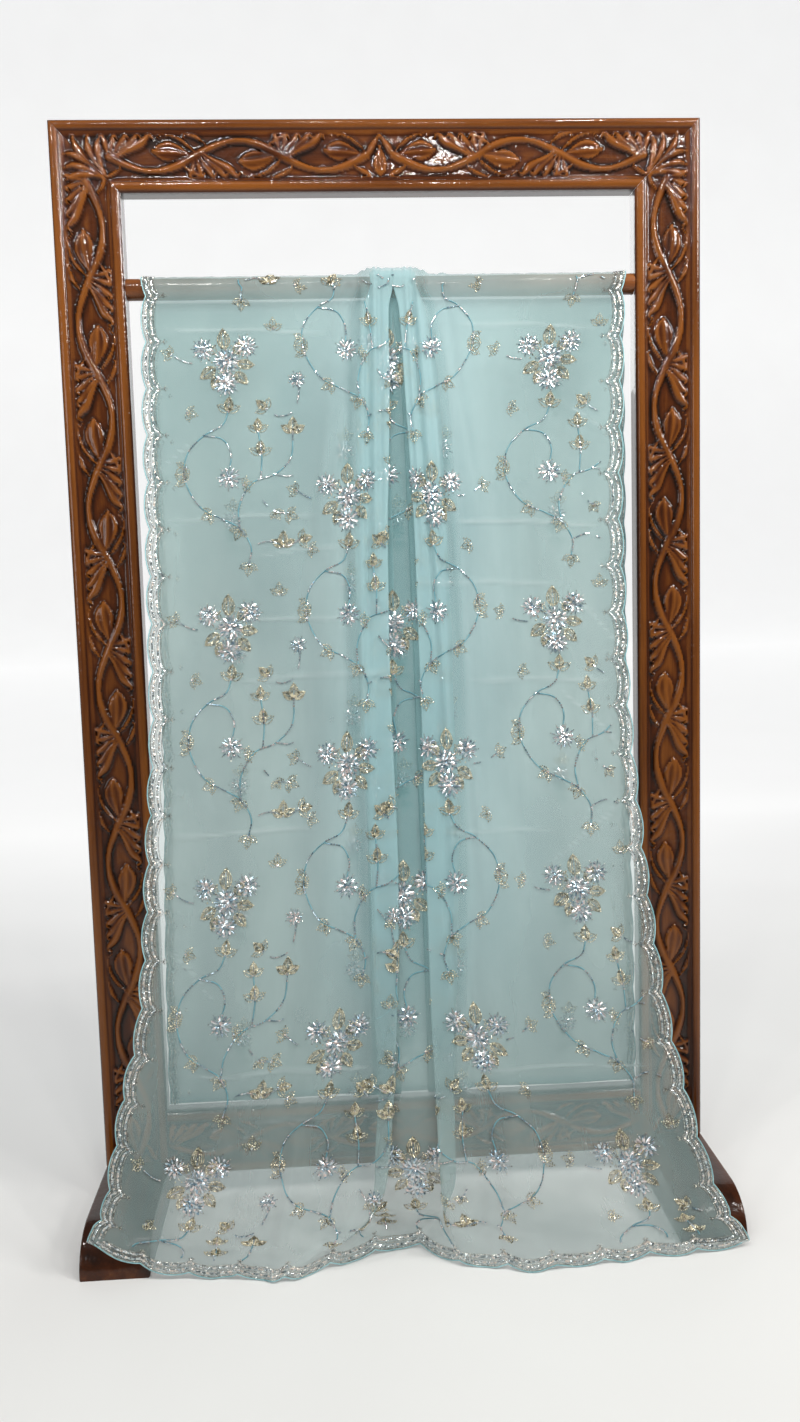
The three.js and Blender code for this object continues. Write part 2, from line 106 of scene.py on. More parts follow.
class Table:
    """A short table whose columns are read smoothly between its rows, level at each peak."""

    def __init__(self, names: str, rows: Sequence[Sequence[float]]) -> None:
        """Keeps the rows, and the columns' names, of which the first is the one that is looked up."""
        self.names = names.split()
        self.values = np.array(rows, float)

    def read(self, at: float | Array) -> dict[str, Array]:
        """Every column at one place or at many.

        Args:
            at: Values of the first column.

        Returns:
            Each column's values there, by name.
        """
        keys = self.values[:, 0]
        low = np.clip(np.searchsorted(keys, at) - 1, 0, len(keys) - 2)
        span = keys[low + 1] - keys[low]
        part = np.clip((np.asarray(at) - keys[low]) / span, 0, 1)
        rest = 1 - part
        row = {}
        for name, column in zip(self.names, self.values.T):
            slope = self._slopes(keys, column)
            row[name] = (
                column[low] * (1 + 2 * part) * rest**2
                + column[low + 1] * part**2 * (3 - 2 * part)
                + slope[low] * span * part * rest**2
                - slope[low + 1] * span * part**2 * rest
            )
        return row

    @staticmethod
    def _slopes(keys: Array, column: Array) -> Array:
        """The slope at each row, which is 0 at the ends and at each peak.

        Args:
            keys: The column that is looked up.
            column: The column that is read.

        Returns:
            One slope for each row.
        """
        steps = np.diff(column) / np.diff(keys)
        before, after = steps[:-1], steps[1:]
        rising = before * after > 0
        total = np.where(rising, before + after, 1)
        return np.concatenate([[0], np.where(rising, 2 * before * after / total, 0), [0]])


# Meshes
def mesh_from(name: str, points: Array, faces: Sequence[Array]) -> Mesh:
    """A mesh from arrays.

    Args:
        name: The mesh's name.
        points: Vertices, n x 3, in metres.
        faces: Arrays of vertex numbers, each with its own number of corners a face.

    Returns:
        The new mesh.
    """
    loops = np.concatenate([f.reshape(-1) for f in faces]).astype(np.int32)
    sizes = np.concatenate([np.full(len(f), f.shape[1]) for f in faces])
    mesh = bpy.data.meshes.new(name)
    mesh.vertices.add(len(points))
    mesh.vertices.foreach_set("co", np.ascontiguousarray(points, np.float32).reshape(-1))
    mesh.loops.add(len(loops))
    mesh.loops.foreach_set("vertex_index", loops)
    mesh.polygons.add(len(sizes))
    mesh.polygons.foreach_set("loop_start", np.concatenate([[0], np.cumsum(sizes)[:-1]]).astype(np.int32))
    mesh.polygons.foreach_set("use_smooth", np.ones(len(sizes), bool))
    mesh.update(calc_edges=True)
    mesh.validate()
    return mesh


def put_uv(mesh: Mesh, places: Array) -> None:
    """Gives a mesh a UV map from one place for each vertex.

    Args:
        mesh: The mesh.
        places: Across and down the flat cloth, for each vertex.
    """
    corners = np.zeros(len(mesh.loops), np.int32)
    mesh.loops.foreach_get("vertex_index", corners)
    layer = mesh.uv_layers.new(name="cloth")
    layer.data.foreach_set("uv", places[corners].astype(np.float32).reshape(-1))


def put_values(mesh: Mesh, name: str, values: Array) -> None:
    """Gives a mesh a named number, or three, for each vertex.

    Args:
        mesh: The mesh.
        name: The attribute's name.
        values: One number or three for each vertex.
    """
    kind, part = ("FLOAT", "value") if values.ndim == 1 else ("FLOAT_VECTOR", "vector")
    layer = mesh.attributes.new(name, kind, "POINT")
    layer.data.foreach_set(part, values.astype(np.float32).reshape(-1))


def grid_faces(rows: int, columns: int, closed: bool = False) -> Array:
    """Quads of a grid of points, row after row.

    Args:
        rows: Number of rows.
        columns: Number of points in a row.
        closed: True joins each row's last point to its first.

    Returns:
        Four vertex numbers for each quad.
    """
    across = np.arange(columns if closed else columns - 1)
    low = (np.arange(rows - 1) * columns)[:, None] + across
    side = (np.arange(rows - 1) * columns)[:, None] + (across + 1) % columns
    return np.stack([low, low + columns, side + columns, side], -1).reshape(-1, 4)


def put_in_scene(name: str, data: bpy.types.ID) -> Piece:
    """Makes an object and puts it in the scene.

    Args:
        name: The object's name.
        data: Its mesh, lamp or camera.

    Returns:
        The new object.
    """
    thing = bpy.data.objects.new(name, data)
    bpy.context.scene.collection.objects.link(thing)
    return thing


def add_piece(name: str, mesh: Mesh, finish: Finish) -> Piece:
    """Puts a mesh in the scene as a piece of the object.

    Args:
        name: The piece's name.
        mesh: Its mesh, already in place.
        finish: Its material, unless the mesh has some.

    Returns:
        The new object, riding on the body.
    """
    if not mesh.materials:
        mesh.materials.append(finish)
    piece = put_in_scene(name, mesh)
    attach(piece, BODY)
    LOG.info("%s: %d faces", name, len(mesh.polygons))
    return piece


# Finishes
class Nodes:
    """Short ways to add the nodes of one material."""

    def __init__(self, name: str) -> None:
        """Starts a material with a Principled shader.

        Args:
            name: The material's name.
        """
        self.material = bpy.data.materials.new(name)
        self.material.use_nodes = True
        self.tree = self.material.node_tree
        self.shader = self.tree.nodes["Principled BSDF"]

    def add(self, kind: str, settings: dict | None = None, **inputs: object) -> bpy.types.Node:
        """Adds a node.

        Args:
            kind: The node's type.
            settings: Its own options.
            inputs: Values or output sockets for its inputs, by name with _ for a space.

        Returns:
            The node.
        """
        node = self.tree.nodes.new(kind)
        for key, value in (settings or {}).items():
            setattr(node, key, value)
        for key, value in inputs.items():
            self.feed(node.inputs[key.replace("_", " ")], value)
        return node

    def feed(self, socket: Socket, value: object) -> None:
        """Links an output socket to an input, or sets its value.

        Args:
            socket: The input.
            value: An output socket, or a plain value.
        """
        if isinstance(value, Socket):
            self.tree.links.new(value, socket)
        else:
            socket.default_value = value

    def set(self, **inputs: object) -> None:
        """Sets inputs of the shader, by name with _ for a space."""
        for key, value in inputs.items():
            self.feed(self.shader.inputs[key.replace("_", " ")], value)

    def noise(self, where: Socket, scale: float, detail: float = 3) -> Socket:
        """Noise from about 0 to 1 at a place."""
        return self.add("ShaderNodeTexNoise", Vector=where, Scale=scale, Detail=detail).outputs["Fac"]

    def stretched(self, where: Socket, scale: Sequence[float]) -> Socket:
        """A place with each coordinate scaled."""
        return self.add("ShaderNodeMapping", Vector=where, Scale=tuple(scale)).outputs["Vector"]

    def mark(self, name: str) -> Socket:
        """The number that the mesh's own attribute of that name holds."""
        return self.add("ShaderNodeAttribute", {"attribute_name": name}).outputs["Fac"]

    def maths(self, operation: str, first: object, second: object = 0.0) -> Socket:
        """A calculation on one or two numbers.

        Args:
            operation: Its name in capitals.
            first: A socket or a number.
            second: Another.

        Returns:
            The result's socket.
        """
        node = self.add("ShaderNodeMath", {"operation": operation})
        self.feed(node.inputs[0], first)
        self.feed(node.inputs[1], second)
        return node.outputs["Value"]

    def ramp(self, value: Socket, stops: Sequence[tuple[float, str]]) -> Socket:
        """A colour that changes with a value.

        Args:
            value: What picks the colour.
            stops: Places from 0 to 1 with their sRGB codes.

        Returns:
            The colour's socket.
        """
        node = self.add("ShaderNodeValToRGB", Fac=value)
        band = node.color_ramp.elements
        while len(band) < len(stops):
            band.new(0.5)
        for element, (place, code) in zip(band, stops):
            element.position = place
            element.color = colour(code)
        return node.outputs["Color"]

    def mix(self, factor: Socket, first: Socket, code: str) -> Socket:
        """A colour between two.

        Args:
            factor: 0 for the first colour and 1 for the second.
            first: The first colour.
            code: The second one's sRGB code.

        Returns:
            The colour's socket.
        """
        node = self.add("ShaderNodeMix", {"data_type": "RGBA"})
        self.feed(node.inputs["Factor"], factor)
        self.feed(node.inputs["A"], first)
        self.feed(node.inputs["B"], colour(code))
        return node.outputs["Result"]

    def bump(self, height: Socket, distance: float, strength: float = 1.0) -> None:
        """Gives the shader and its clear coat a bump.

        Args:
            height: The height, in parts of the distance.
            distance: What a height of 1 stands for, in metres.
            strength: How much of it shows.
        """
        node = self.add("ShaderNodeBump", Height=height, Distance=distance, Strength=strength)
        for socket in ("Normal", "Coat Normal"):
            self.feed(self.shader.inputs[socket], node.outputs["Normal"])


@dataclass(frozen=True)
class SheerSilk:
    """Sheer silk, through which more or less of what is behind it shows."""

    name: str
    cover: float
    pale: str = "a6bcba"
    deep: str = "879f9f"
    gathered: str = "a6ced4"
    # The colour of the painted shade in the pleat's recess, beside the plies and at the top, then that of
    # the painted highlight along the creases
    painted_shade_colour: str = "6c9a9c"
    crease_highlight: str = "d6e3e3"
    cloud_scale: float = 5.5
    thread_scale: float = 620
    thread_stretch: float = 0.012
    thread_share: float = 0.06
    crinkle_scale: float = 22
    crinkle_rise: float = 11

    def build(self) -> Finish:
        """Builds it on the cloth's own flat coordinates.

        Returns:
            The material.
        """
        nodes = Nodes(self.name)
        flat = nodes.add("ShaderNodeUVMap", {"uv_map": "cloth"}).outputs["UV"]
        clouds = nodes.noise(nodes.stretched(flat, (1, 0.45, 1)), self.cloud_scale, 4)
        slubs = nodes.noise(nodes.stretched(flat, (1, self.thread_stretch, 1)), self.thread_scale, 2)
        picks = nodes.noise(nodes.stretched(flat, (self.thread_stretch, 1, 1)), self.thread_scale, 2)
        soft = nodes.maths("MULTIPLY", clouds, 1 - self.thread_share)
        shade = nodes.maths("ADD", soft, nodes.maths("MULTIPLY", slubs, self.thread_share))
        gather, painted_shade, crease = (nodes.mark(name) for name in ("gather", "painted_shade", "crease"))
        crinkles = nodes.noise(nodes.stretched(flat, (1, 0.6, 1)), self.crinkle_scale, 4)
        tint = nodes.mix(gather, nodes.ramp(shade, [(0.32, self.deep), (0.62, self.pale)]), self.gathered)
        # Painted shade darkens the cloth in the recess, beside the plies and at the top; a painted highlight
        # lightens it along the creases
        tint = nodes.mix(crease, nodes.mix(painted_shade, tint, self.painted_shade_colour), self.crease_highlight)
        nodes.set(
            Base_Color=tint,
            Roughness=nodes.maths("ADD", nodes.maths("MULTIPLY", clouds, 0.2), 0.38),
            Alpha=self.cover,
            Sheen_Weight=0.2,
            Sheen_Roughness=0.4,
            Specular_IOR_Level=0.3,
        )
        weave = nodes.maths("MULTIPLY", nodes.maths("ADD", slubs, picks), 0.1)
        crinkles = nodes.maths("MULTIPLY", crinkles, self.crinkle_rise)
        nodes.bump(nodes.maths("ADD", weave, crinkles), 0.0002, 0.8)
        return nodes.material


@dataclass(frozen=True)
class LacqueredWood:
    """Carved wood under clear lacquer: darker in the cuts and paler on the ridges."""

    name: str
    grain: Grain
    dark: str = "180801"
    middle: str = "421d04"
    pale: str = "744215"
    grain_stretch: float = 0.06
    band_scale: float = 34
    pore_scale: float = 420
    cut_scale: float = 85

    def build(self) -> Finish:
        """Builds it on the object's own coordinates and the carving's depth.

        Returns:
            The material.
        """
        nodes = Nodes(self.name)
        where = nodes.add("ShaderNodeTexCoord").outputs["Object"]
        along = [1.0, 1.0, 1.0]
        along[self.grain.value] = self.grain_stretch
        bands = nodes.noise(nodes.stretched(where, along), self.band_scale, 5)
        pores = nodes.noise(nodes.stretched(where, along), self.pore_scale, 2)
        depth = nodes.mark("ridge")
        tone = nodes.maths("ADD", nodes.maths("MULTIPLY", bands, 0.8), nodes.maths("MULTIPLY", depth, 0.6))
        tone = nodes.maths("ADD", tone, nodes.maths("MULTIPLY", pores, 0.12))
        nodes.set(
            Base_Color=nodes.ramp(tone, [(0.42, self.dark), (0.7, self.middle), (1.0, self.pale)]),
            Roughness=nodes.maths("ADD", nodes.maths("MULTIPLY", pores, 0.16), 0.24),
            Coat_Weight=0.55,
            Coat_Roughness=0.03,
            Specular_IOR_Level=0.06,
        )
        cuts = nodes.maths("MULTIPLY", nodes.noise(where, self.cut_scale, 2), 2.6)
        relief = nodes.maths("ADD", cuts, nodes.maths("MULTIPLY", pores, 0.4))
        nodes.bump(nodes.maths("ADD", nodes.noise(where, 160, 3), relief), 0.0005, 0.5)
        return nodes.material


@dataclass(frozen=True)
class Foil:
    """Bright foil or glass, its tint changing from one small piece to the next."""

    name: str
    tints: tuple[str, str, str]
    metallic: float
    roughness: float
    tint_scale: float = 230.0

    def build(self) -> Finish:
        """Builds it on the object's own coordinates.

        Returns:
            The material.
        """
        nodes = Nodes(self.name)
        where = nodes.add("ShaderNodeTexCoord").outputs["Object"]
        cells = nodes.add("ShaderNodeTexVoronoi", Vector=where, Scale=self.tint_scale).outputs["Color"]
        pick = nodes.add("ShaderNodeSeparateColor", Color=cells).outputs["Red"]
        nodes.set(
            Base_Color=nodes.ramp(pick, [(0.1, self.tints[0]), (0.5, self.tints[1]), (0.9, self.tints[2])]),
            Metallic=self.metallic,
            Roughness=nodes.maths("ADD", nodes.maths("MULTIPLY", pick, 0.12), self.roughness),
            Specular_IOR_Level=0.7,
        )
        nodes.bump(nodes.noise(where, 900, 1), 0.0001, 0.4)
        return nodes.material


@dataclass(frozen=True)
class SilkThread:
    """Twisted silk thread."""

    name: str
    pale: str
    deep: str

    def build(self) -> Finish:
        """Builds it on the object's own coordinates.

        Returns:
            The material.
        """
        nodes = Nodes(self.name)
        where = nodes.add("ShaderNodeTexCoord").outputs["Object"]
        twist = nodes.noise(where, 500, 2)
        nodes.set(
            Base_Color=nodes.ramp(nodes.noise(where, 60, 2), [(0.35, self.deep), (0.65, self.pale)]),
            Roughness=nodes.maths("ADD", nodes.maths("MULTIPLY", twist, 0.2), 0.35),
            Sheen_Weight=0.3,
        )
        nodes.bump(twist, 0.0003, 0.6)
        return nodes.material


# The silk
SECTION = "down left right fold_left fold_right ply_left ply_right turn_left turn_right radius rise"
# Across the cloth at places down it, in mm and degrees: the side edges, where each ply turns under into the
# centre pleat, the turned-under plies, how far they turn, the folds' radius, and how proud the pleat stands.
FRONT_ROWS = Table(SECTION, [
    (0, -446, 456, 15, 19, 38, 38, 180, 180, 2.6, 1),
    (0.03, -447, 452, 5, 29, 45, 45, 180, 180, 2.6, 1),
    (0.12, -450, 443, 1, 35, 58, 59, 180, 180, 2.6, 1),
    (0.29, -451, 430, -13, 43, 55, 58, 180, 180, 2.6, 1),
    (0.44, -452, 430, -17, 43, 54, 57, 180, 180, 2.6, 1),
    (0.59, -466, 442, -15, 41, 49, 54, 180, 180, 2.6, 1),
    (0.75, -486, 466, -27, 39, 38, 43, 180, 180, 2.6, 1),
    (0.85, -522, 498, -42, 42, 21, 28, 180, 180, 3, 0.9),
    (0.92, -543, 530, -62, 47, 22, 24, 138, 160, 6, 0.5),
    (0.96, -556, 556, -105, 58, 44, 26, 74, 98, 10, 0.15),
    (1, -578, 592, -225, 84, 186, 84, 20, 42, 22, 0),
])
BACK_ROWS = Table(SECTION, [
    (0, -446, 464, 15, 19, 38, 38, 180, 180, 2.6, 1),
    (0.1, -448, 465, 4, 33, 52, 52, 180, 180, 2.6, 1),
    (0.4, -452, 466, 2, 42, 57, 59, 180, 180, 2.6, 1),
    (1, -478, 478, -12, 50, 52, 55, 180, 180, 2.6, 1),
])
# The hem on the floor, in mm: how far it lies in front of the stand's plane, and its height there
HEM_ROWS = Table("x forward lift", [
    (-620, 299, 72), (-578, 299, 62), (-530, 300, 38), (-470, 301, 12), (-400, 306, 2), (-242, 321, 0),
    (-60, 318, 0), (70, 320, 0), (230, 342, 0), (450, 331, 0), (620, 314, 1),
])


@dataclass(frozen=True)
class SoftFold:
    """One soft ridge, or a trough where its height is below 0. Widths, heights and x in mm."""

    start: float
    end: float
    start_x: float
    end_x: float
    half: float
    height: float


FRONT_FOLDS = [SoftFold(*row) for row in (
    (0.02, 0.8, -92, -150, 36, 9), (0.03, 0.95, -160, -232, 42, -9),
    (0.08, 1.1, -255, -352, 52, 8), (0.05, 0.85, -372, -430, 42, -6),
    (0.6, 1.2, -130, -290, 40, 11), (0.02, 0.85, 140, 168, 34, 10),
    (0.03, 0.9, 205, 262, 42, -9), (0.06, 1.1, 300, 392, 50, 8),
    (0.1, 0.9, 385, 440, 38, -6), (0.62, 1.2, 120, 232, 38, 10),
    (0.75, 1.25, 330, 500, 44, -9),
)]
BACK_FOLDS = [SoftFold(*row) for row in (
    (0.03, 1.3, -110, -150, 40, 5), (0.1, 1.2, -260, -300, 52, -4),
    (0.06, 1.3, 165, 190, 42, 5), (0.08, 1.2, 310, 345, 54, -4),
)]
# Finer folds than the solid form has: the gathers below the rod, and creases that run to the hem
FINE_FOLDS = [SoftFold(*row) for row in (
    (-0.1, 0.55, -36, -74, 5, 5.5), (-0.1, 0.46, -24, -56, 4, -4.5),
    (-0.1, 0.4, -12, -40, 4, 4.5), (-0.1, 0.3, -4, -22, 4, -3.5),
    (-0.1, 0.32, 36, 56, 4, 4), (-0.1, 0.44, 46, 78, 4, -4.5),
    (-0.1, 0.6, 58, 94, 5, 5), (-0.1, 0.36, 68, 112, 4.5, -4),
    (-0.1, 0.75, -60, -124, 9, -4), (-0.1, 0.72, 88, 150, 9, 4),
    (-0.05, 0.5, 17, 12, 4, 3), (0.35, 0.9, 8, 2, 5, -2.4),
    (-0.05, 0.3, -70, -150, 8, 3.5), (-0.05, 0.26, 100, 170, 8, -3.5),
    (0.3, 0.92, -48, -78, 8, 3), (0.35, 0.95, 66, 88, 8, -3),
    (0.6, 1.1, -84, -150, 12, 4.5), (0.66, 1.1, 86, 150, 11, 4),
    (0.8, 1.2, -190, -330, 11, 6), (0.84, 1.18, -310, -400, 13, -4),
    (0.82, 1.2, 190, 300, 11, 5), (0.78, 1.2, 262, 420, 12, -4.5),
    (0.5, 1.0, -300, -318, 15, 3), (0.2, 0.62, 238, 226, 14, 3.2),
    (0.1, 0.5, -210, -190, 12, 3), (0.04, 0.4, -330, -352, 16, -3),
    (0.3, 0.8, 330, 352, 13, 3), (0.55, 1.0, -400, -440, 12, 3),
)]


@dataclass(frozen=True)
class Crease:
    """A sharp crease from when the silk lay folded. Its place down at both ends, and x and height in mm."""

    start: float
    end: float
    start_x: float
    end_x: float
    height: float


CREASES = [Crease(*row) for row in (
    (0.046, 0.052, -430, -96, 1.5), (0.044, 0.05, 130, 420, 1.3),
    (0.247, 0.243, -430, -120, 1.4), (0.252, 0.262, 90, 410, 1.6),
    (0.285, 0.276, -260, -90, 1.2), (0.318, 0.322, 30, 330, 1.2),
    (0.354, 0.351, -400, -60, 1.5), (0.415, 0.408, -330, 10, 1.3),
    (0.42, 0.425, 120, 420, 1.4), (0.572, 0.566, -440, -150, 1.4),
    (0.575, 0.578, 60, 300, 1.1), (0.81, 0.806, -430, -40, 1.6),
    (0.812, 0.818, 100, 470, 1.4), (0.856, 0.852, -300, -120, 1.2),
    (0.33, 0.39, 330, 425, 1.6), (0.43, 0.50, 300, 428, 1.5),
    (0.62, 0.55, 250, 415, 1.3), (0.68, 0.74, -440, -350, 1.4),
    (0.2, 0.16, -440, -360, 1.2), (0.13, 0.17, 340, 430, 1.2),
)]


# How far a fold spreads, in half widths, and the part of its length over which it starts and ends. Then a
# crease's half width, its rise, how far and how often it sways, and its ends in the same way
FOLD_SPREAD = 1.6
FOLD_ENDS = 0.25
CREASE_HALF = 0.0026
CREASE_RISE = 1.5
CREASE_SWAY = 0.0012
CREASE_WAVES = 9
CREASE_ENDS = 0.2


@dataclass
class ClothGrid:
    """A sheet as rows of points, with the way down and across that each has on the flat cloth."""

    points: Array
    scallop: float = 0.009
    outer: int = 1
    flat_width: float = 1.19
    step: float = 0.002
    reach: float = 0.03
    across: Array = field(init=False)
    down: Array = field(init=False)
    places: Array = field(init=False)
    even: Array = field(init=False)
    facing: Array = field(init=False)

    def __post_init__(self) -> None:
        """Measures the cloth across, and along a line that is clear of the pleat."""
        gaps = np.linalg.norm(np.diff(self.points, axis=1), axis=2)
        across = np.concatenate([np.zeros((len(gaps), 1)), np.cumsum(gaps, axis=1)], axis=1)
        self.across = across * self.flat_width / across[:, -1:]
        column = self.points.shape[1] // 4
        steps = np.linalg.norm(np.diff(self.points[:, column], axis=0), axis=1)
        self.down = np.concatenate([[0], np.cumsum(steps)])
        self.places = np.arange(-self.reach, self.flat_width + self.reach, self.step)
        self.even = np.stack([self._evened(k) for k in range(len(self.points))])
        along = np.gradient(self.even, axis=0)
        side = np.gradient(self.even, axis=1)
        facing = np.cross(along, side) * self.outer
        self.facing = unit_length(facing)

    @property
    def length(self) -> float:
        """The sheet's length along the cloth."""
        return float(self.down[-1])

    def _evened(self, row: int) -> Array:
        """One row at even steps across, carried on straight past both edges.

        Args:
            row: The row's number.

        Returns:
            Its points.
        """
        places, line = self.across[row], self.points[row]
        even = np.stack([np.interp(self.places, places, line[:, k]) for k in range(3)], -1)
        left = line[1] - line[0]
        right = line[-1] - line[-2]
        before = self.places < 0
        after = self.places > self.flat_width
        even[before] = line[0] + self.places[before][:, None] * left / np.linalg.norm(left)
        past = (self.places[after] - self.flat_width)[:, None]
        even[after] = line[-1] + past * right / np.linalg.norm(right)
        return even

    def lay(self, across: Array, down: Array, lift: float | Array) -> tuple[Array, Array]:
        """Where places of the flat cloth lie in space.

        Args:
            across: Metres from the left edge, below 0 or past the width beyond the edges.
            down: Metres from the sheet's start.
            lift: Metres above its outer side.

        Returns:
            The points, and the cloth's directions there as matrices with across, up the cloth and outwards.
        """
        row = np.interp(down, self.down, np.arange(len(self.down)))
        low = np.minimum(row.astype(int), len(self.down) - 2)
        part = (row - low)[:, None]
        column = (across - self.places[0]) / self.step
        side = np.clip(column.astype(int), 0, len(self.places) - 2)
        share = (column - side)[:, None]

        def blend(values: Array) -> Array:
            """A value of the even grid between its points.

            Args:
                values: The grid's values.

            Returns:
                The value at each place.
            """
            top = values[low, side] * (1 - share) + values[low, side + 1] * share
            bottom = values[low + 1, side] * (1 - share) + values[low + 1, side + 1] * share
            return top * (1 - part) + bottom * part

        past = np.clip(down - self.down[-1], 0, None)[:, None]
        fall = unit_length(self.even[-1, side] - self.even[-2, side])
        out = unit_length(blend(self.facing))
        points = blend(self.even) + past * fall + out * np.reshape(lift, (-1, 1))
        sideways = self.even[low, side + 1] - self.even[low, side]
        sideways = unit_length(sideways - out * (sideways * out).sum(1, keepdims=True))
        return points, np.stack([sideways, np.cross(out, sideways) * self.outer, out], -1)


@dataclass
class SilkSaree:
    """The saree: a front fall, the stretch over the rod, and a back fall that is folded up once.

    Lengths are in metres, and those of the crown across are in mm.
    """

    rod_height: float = ROD_HEIGHT
    lay_radius: float = 0.0213
    leave_angle: float = math.radians(7.5)
    seam: float = SEAM
    front_slant: float = 0.236
    front_sag: float = 0.054
    hem_rise: float = 0.0104
    hem_bend: float = 3
    raise_width: float = 0.036
    back_hem_centre: float = 0.186
    back_hem_drop: float = 0.0072
    back_hem_radius: float = 0.00475
    back_end_height: float = 1.768
    scallop_pitch: float = 0.088
    back_scallop: float = 0.0045
    corner_reach: float = 0.013
    corner_run: float = 0.045
    side_steps: int = 60
    arc_steps: int = 6
    ply_steps: int = 9
    recess_steps: int = 6
    front_step: float = 0.003
    back_step: float = 0.0125
    gather_tint: float = 0.7
    # The strength of the painted shade, then the crease height that gives a full mark and the strength of
    # the painted highlight along the creases
    painted_shade_strength: float = 0.85
    crease_full: float = 0.002
    crease_highlight_share: float = 0.34
    turn_steps: int = 22
    hem_steps: int = 8
    gather_rise: float = 1.1
    crown_rise: float = 0.002
    crown_x: float = 17
    crown_spread: float = 26
    ripple_rise: float = 0.0009
    ply_edge: float = 0.002
    ply_soft: float = 0.008
    # Painted shade in strips beside the plies: its strength, its distance from them and its half width
    gutter_shade: float = 0.7
    gutter_off: float = 0.012
    gutter_half: float = 0.011
    fade_from: float = 0.2
    fade_reach: float = 0.5
    middle_x: float = 0.05
    middle_half: float = 0.2
    middle_tint: float = 0.75
    # The reach of the painted shade along the back's bottom fold
    fold_shade_reach: float = 0.012
    top_shade: float = 0.42
    shade_from: float = 1.05
    shade_reach: float = 0.6
    shade_end: float = 0.04
    closer: float = 0.7
    front: ClothGrid = field(init=False)
    back: ClothGrid = field(init=False)
    front_start: float = field(init=False)
    front_places: Array = field(init=False)

    def _fold(self, turn: float, length: float, radius: float) -> tuple[Array, Array]:
        """One fold seen from above: a bend, a straight ply and a bend back.

        Args:
            turn: The angle it turns through.
            length: The ply's length.
            radius: The bends' radius.

        Returns:
            How far its points lie along the cloth, and how far back.
        """
        bend = turn * np.arange(1, self.arc_steps + 1) / self.arc_steps
        along, back = radius * np.sin(bend), radius * (1 - np.cos(bend))
        part = length * np.arange(1, self.ply_steps + 1) / self.ply_steps
        ply_along, ply_back = along[-1] + part * math.cos(turn), back[-1] + part * math.sin(turn)
        bend = turn - bend
        end_along = ply_along[-1] + radius * (math.sin(turn) - np.sin(bend))
        end_back = ply_back[-1] + radius * (np.cos(bend) - math.cos(turn))
        return np.concatenate([along, ply_along, end_along]), np.concatenate([back, ply_back, end_back])

    def section(self, rows: Table, down: float) -> tuple[Array, Array]:
        """The cloth's line across at one height.

        Args:
            rows: The table of the front or the back.
            down: The place from the rod, 0, to the bottom edge, 1.

        Returns:
            x, and how far the cloth stands out from where it would lie flat, in metres.
        """
        row = {name: float(value) for name, value in rows.read(down).items()}
        fold_left, fold_right, radius = (row[k] * MM for k in ("fold_left", "fold_right", "radius"))
        left = self._fold(math.radians(row["turn_left"]), row["ply_left"] * MM, radius)
        right = self._fold(math.radians(row["turn_right"]), row["ply_right"] * MM, radius)
        inner_left, inner_right = fold_left + left[0][-1], fold_right - right[0][-1]
        depth_left, depth_right = left[1][-1], right[1][-1]
        part = np.linspace(0, 1, self.side_steps + 1)
        part = part + self.closer * part * (1 - part)
        left_x = row["left"] * MM * (1 - part) + fold_left * part
        right_x = (fold_right * part + row["right"] * MM * (1 - part))[::-1]
        climb_left = smooth((left_x - min(inner_left, fold_left) + self.raise_width) / self.raise_width)
        climb_right = smooth((max(inner_right, fold_right) + self.raise_width - right_x) / self.raise_width)
        part = np.arange(1, self.recess_steps) / self.recess_steps
        x = [left_x, fold_left + left[0], inner_left * (1 - part) + inner_right * part,
             (fold_right - right[0])[::-1], right_x]
        out = [row["rise"] * depth_left * climb_left, row["rise"] * depth_left - left[1],
               (row["rise"] - 1) * (depth_left * (1 - part) + depth_right * part),
               (row["rise"] * depth_right - right[1])[::-1], row["rise"] * depth_right * climb_right]
        return np.concatenate(x), np.concatenate(out)

    @staticmethod
    def _folded(folds: Sequence[SoftFold], x: Array, down: float) -> Array:
        """How far soft folds move the cloth outwards at one height.

        Args:
            folds: The folds.
            x: Places across, in metres.
            down: The place down the fall, from 0 to 1.

        Returns:
            The distance outwards at each place.
        """
        out = np.zeros_like(x)
        for fold in folds:
            part = (down - fold.start) / (fold.end - fold.start)
            if 0 < part < 1:
                middle = fold.start_x + (fold.end_x - fold.start_x) * part
                reach = np.abs(x / MM - middle) / (fold.half * FOLD_SPREAD)
                out += fold.height * MM * (1 - smooth(reach)) * smooth(min(part, 1 - part) / FOLD_ENDS)
        return out

    @staticmethod
    def _creased(x: Array, down: float) -> Array:
        """How far the sharp creases move the cloth outwards at one height.

        Args:
            x: Places across, in metres.
            down: The place down the fall, from 0 to 1.

        Returns:
            The distance outwards at each place.
        """
        out = np.zeros_like(x)
        for crease in CREASES:
            part = (x / MM - crease.start_x) / (crease.end_x - crease.start_x)
            sway = CREASE_SWAY * np.sin(part * CREASE_WAVES)
            middle = crease.start + (crease.end - crease.start) * part + sway
            ridge = np.clip(1 - np.abs(down - middle) / CREASE_HALF, 0, 1)
            ends = smooth(np.minimum(part, 1 - part) / CREASE_ENDS)
            out += crease.height * CREASE_RISE * MM * ridge * ends
        return out

